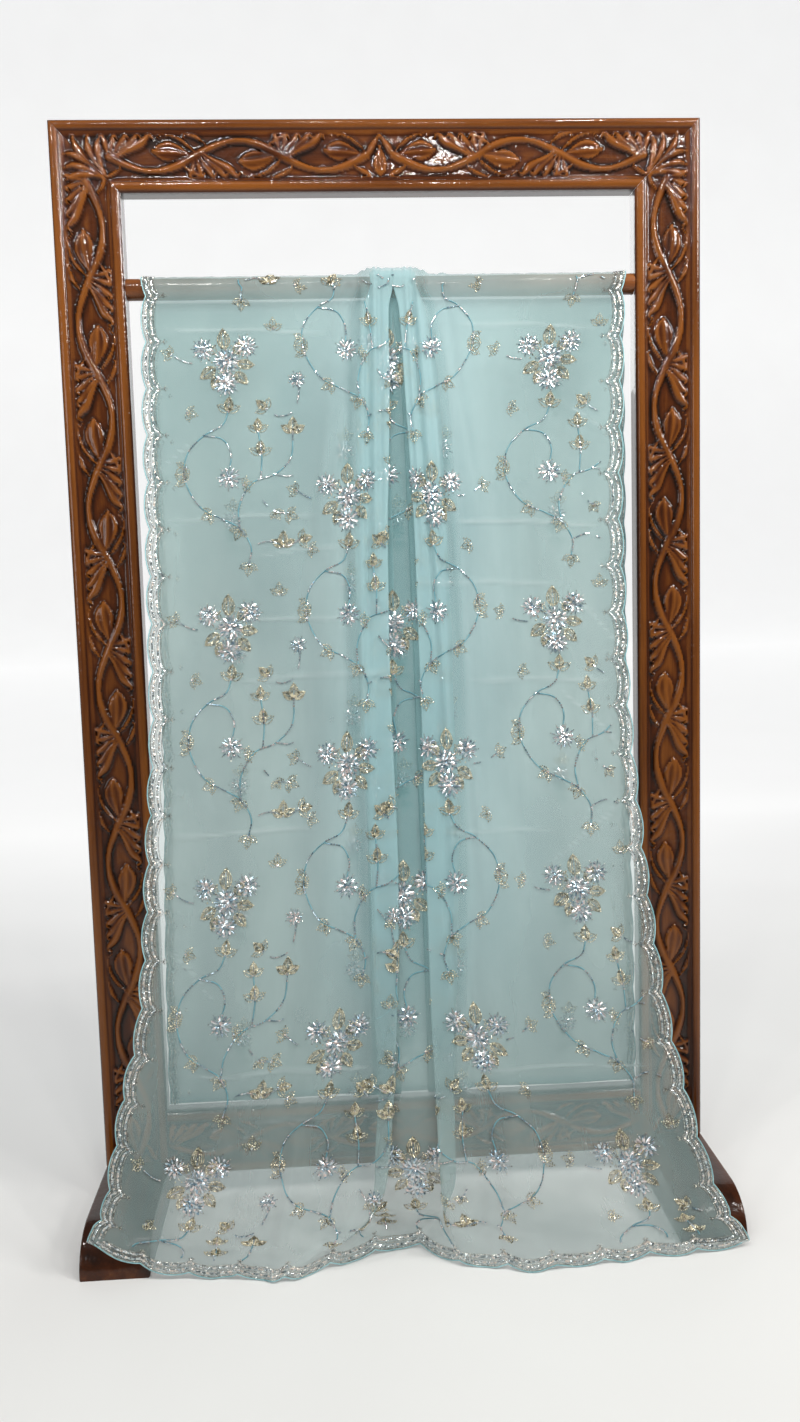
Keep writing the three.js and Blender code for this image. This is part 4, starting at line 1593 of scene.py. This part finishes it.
@dataclass
class BeadedBorder:
    """The border's rows of beads and sequins, which follow the scallops. Lengths in metres."""

    saree: SilkSaree
    sewing: Sewing
    with_hem: bool
    cusp_reach: float = 0.0055
    cusp_half: float = 0.007
    cusp_inset: float = 0.0315
    piping_inset: float = 0.0004
    piping_step: float = 0.003

    def _course(self, side: str, inset: float, gap: float) -> tuple[Array, Array]:
        """Places along one edge at a distance from it.

        Args:
            side: left, right or hem.
            inset: Distance from the scalloped edge.
            gap: Distance between places.

        Returns:
            The places on the flat cloth, and their headings.
        """
        grid = self.sewing.grid
        whole = grid.flat_width if side == "hem" else grid.length
        lobes = round(whole / self.saree.scallop_pitch)
        trim = max(0.0, inset - 0.002) if self.with_hem else 0.0
        start = trim if side == "hem" else 0.0
        run = np.arange(start, whole - trim, gap)
        near = np.abs((run * lobes / whole + 0.5) % 1 - 0.5) * whole / lobes
        point = bell(near / self.cusp_half) * self.cusp_reach * min(1.0, inset / 0.02)
        tips = [grid.length] if self.with_hem and side != "hem" else []
        off = inset + point - self.saree.bulge(grid.scallop, run, whole, tips)
        if side == "hem":
            places = np.stack([run, grid.length - off], -1)
        elif side == "left":
            places = np.stack([off, run], -1)
        else:
            places = np.stack([grid.flat_width - off, run], -1)
        ahead = np.gradient(places, axis=0)
        return places, np.arctan2(ahead[:, 1], ahead[:, 0])

    def build(self, rows: Sequence[tuple[str, float, float, float]]) -> list[Array]:
        """Adds the rows and returns the courses of the piping.

        Args:
            rows: Each row's group, its distance from the edge, the gap between studs and their size.

        Returns:
            The lines that the piping follows.
        """
        sides = ("left", "right", "hem") if self.with_hem else ("left", "right")
        for side in sides:
            for group, inset, gap, size in rows:
                places, headings = self._course(side, inset, gap)
                self.sewing.add(group, places, headings, size)
            self._cusps(side)
        return [self._course(side, self.piping_inset, self.piping_step)[0] for side in sides]

    def _cusps(self, side: str) -> None:
        """Adds a three-leaved sprig where the scallops meet, pointing inwards.

        Args:
            side: left, right or hem.
        """
        grid = self.sewing.grid
        whole = grid.flat_width if side == "hem" else grid.length
        lobes = round(whole / self.saree.scallop_pitch)
        inwards = {"left": 0.0, "right": math.pi, "hem": -math.pi / 2}[side]
        for k in range(1, lobes):
            run = whole * k / lobes
            base = {"left": (self.cusp_inset, run), "right": (grid.flat_width - self.cusp_inset, run),
                    "hem": (run, grid.length - self.cusp_inset)}[side]
            for turn, reach in ((0.0, 0.0065), (0.8, 0.0052), (-0.8, 0.0052)):
                ahead = inwards + turn
                step = np.array([math.cos(ahead), math.sin(ahead)])
                spots = np.array(base) + np.array([0.35, 1.0])[:, None] * reach * step
                self.sewing.add("silver", spots, ahead, 0.95)


@dataclass
class Embroidery:
    """All that is sewn on both sheets."""

    saree: SilkSaree
    front_columns: tuple[float, ...] = (0.145, 0.372, 0.599, 0.826, 1.053)
    front_rows: tuple[tuple[str, float, float, float], ...] = (
        ("silver", 0.0032, 0.0027, 0.95), ("band", 0.0082, 0.0025, 1.05), ("silver", 0.0132, 0.0027, 0.85),
        ("band", 0.0185, 0.0026, 1.0), ("silver", 0.0238, 0.0027, 0.85),
    )
    back_rows: tuple[tuple[str, float, float, float], ...] = (
        ("silver", 0.0034, 0.0034, 0.95), ("band", 0.009, 0.0032, 1.1), ("silver", 0.015, 0.0036, 0.9),
    )
    rod_reach: float = 0.012
    front_first: float = 0.16
    front_pitch: float = 0.502
    back_top: float = 0.03
    back_first: float = 0.2
    back_stagger: float = 0.13
    back_pitch: float = 0.26
    back_clear: float = 0.08

    @staticmethod
    def _finishes() -> dict[str, Finish]:
        """The finishes of the groups.

        Returns:
            Each finish by its group.
        """
        ice = Foil("ice_foil", ("7f99a8", "cfdbe0", "dccbc6"), 0.8, 0.16).build()
        return {
            "ice": ice,
            "silver": Foil("silver_bead", ("7b7b74", "cdcdc8", "b3b0a3"), 0.8, 0.2).build(),
            "gold": Foil("old_gold_bead", ("7a7661", "dcd5bd", "b4ac92"), 0.75, 0.22).build(),
            "band": Foil("band_foil", ("7f8b8e", "cdd6d6", "d9cec4"), 0.8, 0.18).build(),
            "thread": SilkThread("teal_thread", "6b9fa9", "44808e").build(),
            "piping": SilkThread("pale_piping", "9fc8cc", "7fb0b6").build(),
            # Darker, duller copies of the band and piping for the back's border: painted shade
            "shaded_band": Foil("shaded_band_foil", ("66797c", "8ea2a3", "98968c"), 0.35, 0.45).build(),
            "shaded_piping": SilkThread("shaded_piping_thread", "7fa9ad", "6a9297").build(),
        }

    @staticmethod
    def _dress(sewing: Sewing, piping: list[Array], finishes: dict[str, Finish]) -> list[Piece]:
        """Makes the pieces of one sheet's sewing.

        Args:
            sewing: The sheet's sewing.
            piping: The courses of its piping.
            finishes: The finishes by group.

        Returns:
            The pieces.
        """
        # The back's border takes the copies with painted shade
        edging = ("band", "piping") if sewing.grid.outer > 0 else ("shaded_band", "shaded_piping")
        ice, silver, gold, band, cord = (finishes[k] for k in ("ice", "silver", "gold", *edging))
        # Each group's studs with their width and rise, then their lift, tilt, finish and slot
        kinds = {
            "band": (StudTree(Stud.SEQUIN, 0.0023, 0.0005), 0.0009, 0.32, band, Slot.SEQUIN),
            "sequins": (StudTree(Stud.SEQUIN, 0.0032, 0.0007), 0.0012, 0.35, ice, Slot.SEQUIN),
            "petals": (StudTree(Stud.PETAL, 0.0056, 0.001), 0.0014, 0.3, ice, Slot.SEQUIN),
            "bugles": (StudTree(Stud.BUGLE, 0.0042, 0.0009), 0.0012, 0.1, ice, Slot.BEAD),
            "stitches": (StudTree(Stud.BUGLE, 0.004, 0.0013), 0.0019, 0.1, ice, Slot.BEAD),
            "silver": (StudTree(Stud.BEAD, 0.00135, 0.0012), 0.0011, 0.2, silver, Slot.BEAD),
            "gold": (StudTree(Stud.BEAD, 0.0015, 0.0013), 0.0011, 0.3, gold, Slot.BEAD),
        }
        pieces = []
        for group, (tree, lift, tilt, finish, slot) in kinds.items():
            if group in sewing.studs:
                mesh = sewing.lay_studs(group, tree, lift, tilt, finish)
                pieces.append(add_piece(f"{sewing.name}_{group}", mesh, finish))
        mesh = sewing.cord(piping, 0.0012, 5, 0.0)
        pieces.append(add_piece(f"{sewing.name}_piping", mesh, cord))
        if sewing.threads:
            mesh = sewing.cord(sewing.threads, 0.0012, 4, 0.0008)
            pieces.append(add_piece(f"{sewing.name}_vines", mesh, finishes["thread"]))
        return pieces

    def build(self) -> tuple[list[Piece], list[Piece]]:
        """Sews both sheets.

        Returns:
            The pieces on the front and those on the back.
        """
        finishes = self._finishes()
        saree = self.saree
        front = Sewing(saree.front, saree.front_start - self.rod_reach, saree.front.length)
        piping = BeadedBorder(saree, front, True).build(self.front_rows)
        sprays = FlowerSprays(front)
        sprays.scatter(self.front_columns, self.front_first, self.front_pitch)
        back = Sewing(saree.back, self.back_top, saree.back.length, seed=8, name="back")
        back_piping = BeadedBorder(saree, back, False).build(self.back_rows)
        small = FlowerSprays(back)
        for index, column in enumerate(self.front_columns):
            first = self.back_first + self.back_stagger * (index % 2)
            for down in np.arange(first, back.bottom - self.back_clear, self.back_pitch):
                spot = np.array([column, down])
                small.flower(spot, 8, 0.9)
                small.sprig(spot + [0.004, 0.022], 1.57)
        return self._dress(front, piping, finishes), self._dress(back, back_piping, finishes)


# The stand
@dataclass(frozen=True)
class Frond:
    """One carved form: a curved middle line with a half width along it. Lengths in metres."""

    line: Array
    half: Array
    crown: float
    flutes: float = 0.0

    def height(self, x: Array, z: Array) -> Array:
        """How far it stands above the ground at each place.

        Args:
            x: Places across.
            z: Places up.

        Returns:
            The heights.
        """
        offsets = np.stack([x, z], -1)[:, None, :] - self.line[None]
        squares = (offsets**2).sum(-1)
        nearest = squares.argmin(1)
        picked = np.arange(len(x))
        distance = np.sqrt(squares[picked, nearest])
        ahead = np.gradient(self.line, axis=0)[nearest]
        offset = offsets[picked, nearest]
        side = np.sign(ahead[:, 0] * offset[:, 1] - ahead[:, 1] * offset[:, 0])
        along = nearest / (len(self.line) - 1)
        half = np.maximum(self.half[nearest], 1e-6)
        reach = distance / half
        height = np.sqrt(np.clip(1 - reach**2, 0, 1))
        if self.flutes:
            groove = 0.5 + 0.5 * np.cos(2 * math.pi * self.flutes * (side * reach + 0.15 * along))
            height = height**0.55 * (0.62 + 0.38 * groove + 0.16 * reach)
        return self.crown * height


# The forms in each bend of a scroll besides its leaf's lobes: stops as the part of the bend along it and,
# from -1 to 1 across the panel, out towards the bend's side, then the half width in mm and the widest place
TENDRILS = (
    (((1.0, -0.12), (0.9, -0.5), (0.78, -0.8), (0.62, -0.92), (0.54, -0.72)), 3.2, 0.3),
    (((0.84, 0.42), (0.94, 0.66), (1.04, 0.9), (0.94, 0.94)), 5.0, 0.5),
    (((0.12, 0.5), (0.02, 0.8), (-0.1, 0.94), (-0.14, 0.82)), 4.2, 0.5),
)


@dataclass
class ScrollCarving:
    """Leaf scrolls in low relief, laid out in the plane of the stand's frame and alike on both sides."""

    swing: float = 0.027
    stem_half: float = 0.0088
    panel_half: float = 0.041
    ground: float = -0.0024
    lobes: int = 5
    fineness: float = 0.0018
    rise: float = 0.0062
    corner_root: float = 0.037
    corner_length: float = 0.073
    fronds: list[Frond] = field(default_factory=list)

    def _drop(self, line: Array, half: float) -> None:
        """Adds a drop-shaped bud with veins, narrow where its line starts."""
        part = np.linspace(0, 1, len(line))
        self.fronds.append(Frond(line, half * np.sin(math.pi * part**1.5 * 0.93 + 0.06) ** 0.8, 0.0056, 1.0))

    def _lobe(self, line: Array, half: float, peak: float, crown: float) -> None:
        """Adds one tapered lobe.

        Args:
            line: Its middle line from root to tip.
            half: Its greatest half width.
            peak: The part of the way along where it is widest.
            crown: Its height.
        """
        part = np.linspace(0, 1, len(line))
        width = half * (0.35 + 0.65 * smooth(part / peak)) * (1 - 0.75 * smooth((part - peak) / (1 - peak)))
        self.fronds.append(Frond(line, width, crown))

    def corner(self, middle: Array) -> None:
        """Adds a leaf that fans out from the inner corner of a rail and a post.

        Args:
            middle: Where the middles of the two meet.
        """
        root = middle - self.corner_root
        for degrees in (2, 19, 34, 49, 64, 80):
            angle = math.radians(degrees)
            length = self.corner_length / max(math.cos(angle), math.sin(angle))
            ahead = np.array([math.cos(angle), math.sin(angle)])
            beside = np.array([-ahead[1], ahead[0]]) * (1 if degrees < 42 else -1)
            stops = root + np.outer((0.06, 0.45, 0.8, 1.0), ahead) * length
            stops += np.outer((0.0, 0.05, 0.02, -0.1), beside) * length
            self._lobe(curve_through(stops, self.fineness), 0.0072, 0.6, self.rise)

    def centre(self, z: float) -> None:
        """Adds the peak in the middle of a rail, with the bud that hangs in it.

        Args:
            z: The height of the rail's middle.
        """
        stops = np.array([(0.0, 0.036), (0.008, 0.026), (0.022, 0.004), (0.034, -0.004)]) + [0.0, z]
        self._lobe(curve_through(stops, self.fineness), 0.0075, 0.6, self.rise)
        self._drop(curve_through(np.array([(0.0, z + 0.02), (0.0, z - 0.036)]), self.fineness), 0.0125)

    def run(self, start: Array, end: Array, waves: int, first: int) -> None:
        """Adds a scroll along a straight run.

        Args:
            start: Where its middle line starts, as x and z.
            end: Where it ends.
            waves: Number of bends.
            first: 1 or -1, the side of the first bend.
        """
        way = end - start
        ahead = way / np.linalg.norm(way)
        side = np.array([-ahead[1], ahead[0]])
        part = np.linspace(0, 1, 60 * waves)
        wave = np.sin(math.pi * waves * part) * first * self.swing
        stem = start + part[:, None] * way + wave[:, None] * side
        taper = self.stem_half * (0.8 + 0.2 * np.cos(2 * math.pi * waves * part + 0.5))
        self.fronds.append(Frond(stem, taper, self.rise, 0.5))
        for k in range(waves):
            turn = first * (-1) ** k

            def bent(stops: Sequence[tuple[float, float]]) -> Array:
                """A line through stops of this bend.

                Args:
                    stops: The part of the bend along it, and the place across the panel.

                Returns:
                    The line.
                """
                along, out = np.array(stops).T
                line = start + ((k + along) / waves)[:, None] * way
                return curve_through(line + (out * turn * self.panel_half)[:, None] * side, self.fineness)

            for share in np.linspace(0, 1, self.lobes):
                stops = ((0.09 * share - 0.01, 0.12 * share), (0.24 * share - 0.03, 0.2 * share - 0.42),
                         (0.43 * share - 0.05, 0.16 * share - 0.74), (0.54 * share - 0.07, -0.9),
                         (0.55 * share - 0.04, -0.76))
                self._lobe(bent(stops), 0.0066 + 0.0022 * share, 0.62, 0.0056 + 0.0014 * share)
            self._drop(bent(((0.97, 0.02), (0.84, -0.1), (0.7, -0.2), (0.52, -0.22))), 0.0175)
            for stops, half, peak in TENDRILS:
                self._lobe(bent(stops), half * MM, peak, 0.0054)

    def height(self, x: Array, z: Array) -> Array:
        """The relief at places of the frame's plane.

        Args:
            x: Places across.
            z: Places up.

        Returns:
            The heights above the ground of the panel.
        """
        flat_x, flat_z = np.abs(x).reshape(-1), z.reshape(-1)
        total = np.zeros_like(flat_x)
        for frond in self.fronds:
            margin = float(frond.half.max()) + 0.004
            low, high = frond.line.min(0) - margin, frond.line.max(0) + margin
            near = (flat_x > low[0]) & (flat_x < high[0]) & (flat_z > low[1]) & (flat_z < high[1])
            if near.any():
                total[near] = np.maximum(total[near], frond.height(flat_x[near], flat_z[near]))
        return total.reshape(x.shape)


# Places across a member in mm from its outer edge, close together on the mouldings
MEMBER_COLUMNS = np.concatenate([
    [0, 1.2, 3, 5, 7, 9, 11, 13, 15, 17, 18.5, 19.6, 21, 22.5],
    np.linspace(25, 101, 29),
    [103.2, 104.6, 106, 107.4, 109, 111, 114, 117, 119.5, 122, 124, 126],
])


@dataclass
class CarvedStand:
    """The free-standing wooden frame with its rod and feet. Lengths in metres."""

    width: float = 1.220
    height: float = 2.089
    post_width: float = 0.126
    rail_width: float = 0.129
    bottom_underside: float = 0.049
    foot_height: float = 0.075
    foot_reach: float = 0.293
    toe_length: float = 0.085
    rod_radius: float = 0.020
    rod_height: float = ROD_HEIGHT
    seam: float = SEAM
    panel_from: float = 0.0235
    panel_to: float = 0.1035
    panel_edge: float = 0.004
    along_step: float = 0.0031
    ridge_reach: int = 3
    ridge_depth: float = 0.0042
    rod_rings: int = 120
    rod_sides: int = 48
    rod_flats: float = 0.0003
    toe_steps: int = 25
    edge_ease: float = 0.004
    edge_steps: int = 5
    carving: ScrollCarving = field(default_factory=ScrollCarving)
    moulding: Table = field(default_factory=lambda: Table("inwards half", [
        (0, 20), (3, 24.5), (9, 26), (15, 24.5), (18.5, 20.6), (19.6, 20.6), (22, 19), (104, 19),
        (106, 20.4), (107.4, 20.4), (109, 22.8), (114, 24), (121, 22.5), (126, 18),
    ]))

    def plan_carving(self) -> None:
        """Lays the scrolls out along the right half of the frame, which the left half mirrors."""
        post_x = self.width / 2 - self.post_width / 2
        rail_z = self.height - self.rail_width / 2
        low_z = self.bottom_underside + self.rail_width / 2
        inner = self.width / 2 - self.post_width
        self.carving.run(np.array([post_x, 1.98]), np.array([post_x, 0.09]), 11, -1)
        self.carving.run(np.array([post_x - 0.046, rail_z]), np.array([0.026, rail_z]), 3, 1)
        self.carving.run(np.array([inner, low_z]), np.array([0.0, low_z]), 3, 1)
        self.carving.corner(np.array([post_x, rail_z]))
        self.carving.centre(rail_z)

    def _member(self, name: str, width: float, grain: Grain, rows: int,
                place: Callable[[Array, Array], tuple[Array, Array]]) -> Piece:
        """A frame member with moulded edges and a carved panel on both faces.

        Args:
            name: The piece's name, which is the node's that it replaces with _carved added.
            width: The member's width.
            grain: The way that its grain runs.
            rows: Number of rows along it.
            place: Gives x and z from the part of the way along it and the distance inwards.

        Returns:
            The piece.
        """
        columns = MEMBER_COLUMNS * MM
        half = self.moulding.read(columns / MM)["half"] * MM
        inwards = columns * width / self.post_width
        part, across = np.meshgrid(np.linspace(0, 1, rows), inwards, indexing="ij")
        x, z = place(part, across)
        panel = smooth((columns - self.panel_from) / self.panel_edge)
        panel = panel * smooth((self.panel_to - columns) / self.panel_edge)
        relief = self.carving.height(x, z)
        depth = half + panel * (self.carving.ground + relief)
        ridge = self._ridge_marks(depth)
        front = np.stack([x, STAND_SET_BACK - depth, z], -1)
        keep = np.unique(np.append(np.arange(0, len(columns), 2), len(columns) - 1))[::-1]
        rear = np.stack([x, STAND_SET_BACK + depth, z], -1)[:, keep]
        ring = np.concatenate([front, rear], 1)
        count = ring.shape[1]
        cap = np.arange(count)[None]
        lid = (cap + (rows - 1) * count)[:, ::-1]
        mesh = mesh_from(name, ring.reshape(-1, 3), [grid_faces(rows, count, closed=True), cap, lid])
        put_values(mesh, "ridge", np.concatenate([ridge, ridge[:, keep]], 1).reshape(-1))
        face_outwards(mesh)
        mesh.set_sharp_from_angle(angle=math.radians(52))
        piece = add_piece(name + "_carved", mesh, LacqueredWood(f"{name}_wood", grain).build())
        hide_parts(name)
        return piece

    def _ridge_marks(self, depth: Array) -> Array:
        """Marks what stands out from its surroundings and what lies in a cut.

        Args:
            depth: The surface's distance from the frame's plane.

        Returns:
            Near 1 on a ridge and near 0 in a cut.
        """
        wide = np.pad(depth, self.ridge_reach, mode="edge")
        size = 2 * self.ridge_reach + 1
        rows, columns = depth.shape
        total = sum(wide[i:i + rows, j:j + columns] for i in range(size) for j in range(size))
        return np.clip(0.5 + (depth - total / size**2) / self.ridge_depth, 0, 1)

    def build_frame(self) -> None:
        """The posts and rails."""
        self.plan_carving()
        half = self.width / 2
        foot_top = self.foot_height + self.seam
        long_rows = round((self.height - self.foot_height) / self.along_step)
        for name, side in (("post_left", -1), ("post_right", 1)):
            self._member(name, self.post_width, Grain.UP, long_rows, lambda part, inwards, side=side: (
                side * (half - inwards),
                foot_top * (1 - part)
                + part * (self.height - inwards * self.rail_width / self.post_width - self.seam),
            ))
        self._member("top_rail", self.rail_width, Grain.ACROSS, round(self.width / self.along_step),
                     lambda part, inwards: (
                         (2 * part - 1) * (half - inwards * self.post_width / self.rail_width - self.seam),
                         self.height - inwards,
                     ))
        inner = half - self.post_width - self.seam
        self._member("bottom_rail", self.rail_width, Grain.ACROSS, round(2 * inner / self.along_step / 1.5),
                     lambda part, inwards: ((2 * part - 1) * inner, self.bottom_underside + inwards))

    def build_rod(self) -> Piece:
        """Turns the rod, with slight flats and a soft waviness along it.

        Returns:
            The piece.
        """
        inner = self.width / 2 - self.post_width - self.seam
        rings, sides = self.rod_rings, self.rod_sides
        x = np.linspace(-inner, inner, rings)[:, None]
        turn = np.linspace(0, 2 * math.pi, sides, endpoint=False)[None]
        radius = self.rod_radius - self.rod_flats * (1 + np.sin(x * 37 + 2 * turn) * np.cos(x * 11))
        ring = np.stack([x + 0 * turn, STAND_SET_BACK + radius * np.cos(turn),
                         self.rod_height + radius * np.sin(turn)], -1)
        points = np.concatenate([ring.reshape(-1, 3), [ring[0].mean(0), ring[-1].mean(0)]])
        low = np.arange(sides)
        centre, last = len(points) - 2, (rings - 1) * sides
        near = np.stack([np.full(sides, centre), low, (low + 1) % sides], -1)
        far = np.stack([np.full(sides, centre + 1), (low + 1) % sides + last, low + last], -1)
        mesh = mesh_from("rod", points, [grid_faces(rings, sides, closed=True), np.concatenate([near, far])])
        put_values(mesh, "ridge", np.full(len(points), 0.3))
        face_outwards(mesh)
        mesh.set_sharp_from_angle(angle=math.radians(60))
        wood = LacqueredWood("rod_wood", Grain.ACROSS, dark="4a2812", middle="7a4826", pale="9a683c").build()
        piece = add_piece("rod_turned", mesh, wood)
        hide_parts("hanging_rod")
        return piece

    def build_foot(self, name: str, side: int) -> Piece:
        """A foot: a runner with a rounded toe in front and behind, its edges eased.

        Args:
            name: The node that it replaces.
            side: -1 on the left and 1 on the right.

        Returns:
            The piece.
        """
        bend = np.linspace(0, math.pi / 2, self.toe_steps)
        flat = self.foot_reach - self.toe_length
        toe_y = flat + self.toe_length * np.cos(bend)
        toe_z = self.foot_height * np.sin(bend)
        middle = np.linspace(flat, -flat, 40)[1:-1]
        floor = np.linspace(-self.foot_reach, self.foot_reach, 60)[1:-1]
        y = np.concatenate([toe_y, middle, -toe_y[::-1], floor])
        top = np.full_like(middle, self.foot_height)
        z = np.concatenate([toe_z, top, toe_z[::-1], np.zeros_like(floor)])
        outer = self.post_width / 2
        ease = self.edge_ease * (1 - np.sin(np.linspace(0, math.pi / 2, self.edge_steps)))
        across = np.concatenate([-outer + ease[::-1], outer - ease])
        inset = np.concatenate([ease, ease[::-1]])
        centre = (self.width / 2 - outer) * side
        rings = []
        for x, trim in zip(across, inset):
            keep_y = 1 - trim / self.foot_reach
            ring_z = self.foot_height / 2 + (z - self.foot_height / 2) * (1 - 2 * trim / self.foot_height)
            rings.append(np.stack([np.full_like(y, centre + x), STAND_SET_BACK + y * keep_y, ring_z], -1))
        ring = np.array(rings)
        count = len(y)
        cap = np.arange(count)[None]
        lid = (cap + (len(across) - 1) * count)[:, ::-1]
        mesh = mesh_from(name, ring.reshape(-1, 3), [grid_faces(len(across), count, closed=True), cap, lid])
        put_values(mesh, "ridge", np.full(len(mesh.vertices), 0.28))
        face_outwards(mesh)
        mesh.set_sharp_from_angle(angle=math.radians(50))
        wood = LacqueredWood(f"{name}_wood", Grain.DEEP).build()
        piece = add_piece(name + "_shaped", mesh, wood)
        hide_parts(name)
        return piece

    def build(self) -> None:
        """The whole stand."""
        self.build_frame()
        self.build_rod()
        self.build_foot("foot_left", -1)
        self.build_foot("foot_right", 1)


def face_outwards(mesh: Mesh) -> None:
    """Turns the faces of a closed mesh so that they look outwards.

    Args:
        mesh: The mesh.
    """
    mesh.calc_loop_triangles()
    points = np.zeros(len(mesh.vertices) * 3, np.float32)
    mesh.vertices.foreach_get("co", points)
    corners = np.zeros(len(mesh.loop_triangles) * 3, np.int32)
    mesh.loop_triangles.foreach_get("vertices", corners)
    a, b, c = points.reshape(-1, 3).astype(float)[corners.reshape(-1, 3)].transpose(1, 0, 2)
    if (a * np.cross(b, c)).sum() < 0:
        mesh.flip_normals()


# Camera, light and floor
@dataclass(frozen=True)
class Studio:
    """A pale floor, soft light and a camera where the photograph was taken from."""

    eye: tuple[float, float, float] = (-0.12155, -2.20321, 1.20575)
    yaw: float = 0.05874
    pitch: float = 0.10292
    roll: float = -0.027945
    lens: float = 28.66

    def camera(self) -> None:
        """The camera."""
        ahead = Vector((math.sin(self.yaw) * math.cos(self.pitch), math.cos(self.yaw) * math.cos(self.pitch),
                        -math.sin(self.pitch)))
        right = Vector((math.cos(self.yaw), -math.sin(self.yaw), 0))
        up = right.cross(ahead)
        cosine, sine = math.cos(self.roll), math.sin(self.roll)
        turned_right, turned_up = right * cosine + up * sine, up * cosine - right * sine
        data = bpy.data.cameras.new("camera")
        data.lens = self.lens
        data.sensor_width = 36
        data.clip_end = 60
        camera = put_in_scene("camera", data)
        axes = Matrix((turned_right, turned_up, -ahead)).transposed().to_4x4()
        camera.matrix_world = Matrix.Translation(self.eye) @ axes
        bpy.context.scene.camera = camera

    def lamp(self, name: str, place: Sequence[float], aim: Sequence[float], size: float, power: float,
             tint: Sequence[float]) -> None:
        """A soft square lamp.

        Args:
            name: Its name.
            place: Where it is.
            aim: The point that it faces.
            size: Its side in metres.
            power: Its power in watts.
            tint: Its colour.
        """
        data = bpy.data.lights.new(name, "AREA")
        data.size = size
        data.energy = power
        data.color = tuple(tint)
        lamp = put_in_scene(name, data)
        lamp.location = place
        lamp.rotation_euler = (Vector(aim) - Vector(place)).to_track_quat("-Z", "Y").to_euler()

    def floor(self) -> None:
        """A wide pale floor that curves up far behind the object, and glows: faintly near the object and
        more towards the far backdrop.
        """
        bend = np.linspace(0.1, math.pi / 2, 14)
        y = np.concatenate([[-30.0, -6.0, 0.0, 6.0, 20.0], 20 + 8 * np.sin(bend), [28.0]])
        z = np.concatenate([np.zeros(5), 8 * (1 - np.cos(bend)), [30.0]])
        x = np.linspace(-30, 30, 9)
        wide = len(x)
        points = np.stack([np.repeat(x[None], len(y), 0), np.repeat(y[:, None], wide, 1),
                           np.repeat(z[:, None], wide, 1)], -1)
        mesh = mesh_from("floor", points.reshape(-1, 3), [grid_faces(len(y), wide)[:, ::-1]])
        nodes = Nodes("pale_floor")
        where = nodes.add("ShaderNodeTexCoord").outputs["Object"]
        deep = nodes.add("ShaderNodeSeparateXYZ", Vector=where).outputs["Y"]
        # Painted light: the floor glows, faintly near the object and more and more towards the far backdrop
        away = nodes.maths("MAXIMUM", nodes.maths("MULTIPLY", nodes.maths("ADD", deep, 0.7), 0.14), 0.06)
        away = nodes.maths("MINIMUM", away, 0.62)
        nodes.set(Base_Color=nodes.ramp(nodes.noise(where, 1.2), [(0.2, "dadad9"), (0.8, "e2e3e2")]),
                  Roughness=0.8, Emission_Color=(1, 1, 1, 1), Emission_Strength=away)
        mesh.materials.append(nodes.material)
        floor = put_in_scene("floor", mesh)

    def build(self) -> None:
        """Camera, floor, lamps and the pale surroundings."""
        self.camera()
        self.floor()
        world = bpy.data.worlds.new("pale_room")
        world.use_nodes = True
        world.node_tree.nodes["Background"].inputs["Color"].default_value = (0.96, 0.98, 1.0, 1)
        world.node_tree.nodes["Background"].inputs["Strength"].default_value = 0.22
        bpy.context.scene.world = world
        bpy.context.scene.view_settings.view_transform = "Standard"
        self.lamp("key", (2.9, -1.9, 3.0), (0, 0, 1.0), 0.8, 66, (1, 0.98, 0.95))
        self.lamp("fill", (-2.8, -3.0, 1.8), (0, 0, 0.9), 1.4, 26, (0.95, 0.98, 1))
        self.lamp("behind", (0.6, 2.8, 2.8), (0, 0, 1.0), 1.6, 12, (0.97, 0.99, 1))
        for k, x in enumerate((-2.0, -1.3, -0.9, -0.5, -0.1, 0.3, 0.7, 1.1, 1.5, 2.1)):
            place = (x, -1.0 - 0.45 * (k % 3), 3.2 - 0.5 * (k % 2))
            self.lamp(f"ceiling_{k}", place, (x * 0.4, 0, 1.2), 0.08, 7, (1, 0.97, 0.93))


def main() -> None:
    """Builds the stage, the stand and the saree, and says what each sheet was cut to."""
    logging.basicConfig(level=logging.INFO, format="%(message)s")
    Studio().build()
    CarvedStand().build()
    saree = SilkSaree()
    front, back = saree.build()
    on_front, on_back = Embroidery(saree).build()
    LOG.info("front sheet %.3f m, back sheet %.3f m", saree.front.down[-1], saree.back.down[-1])


if __name__ == "__main__":
    main()
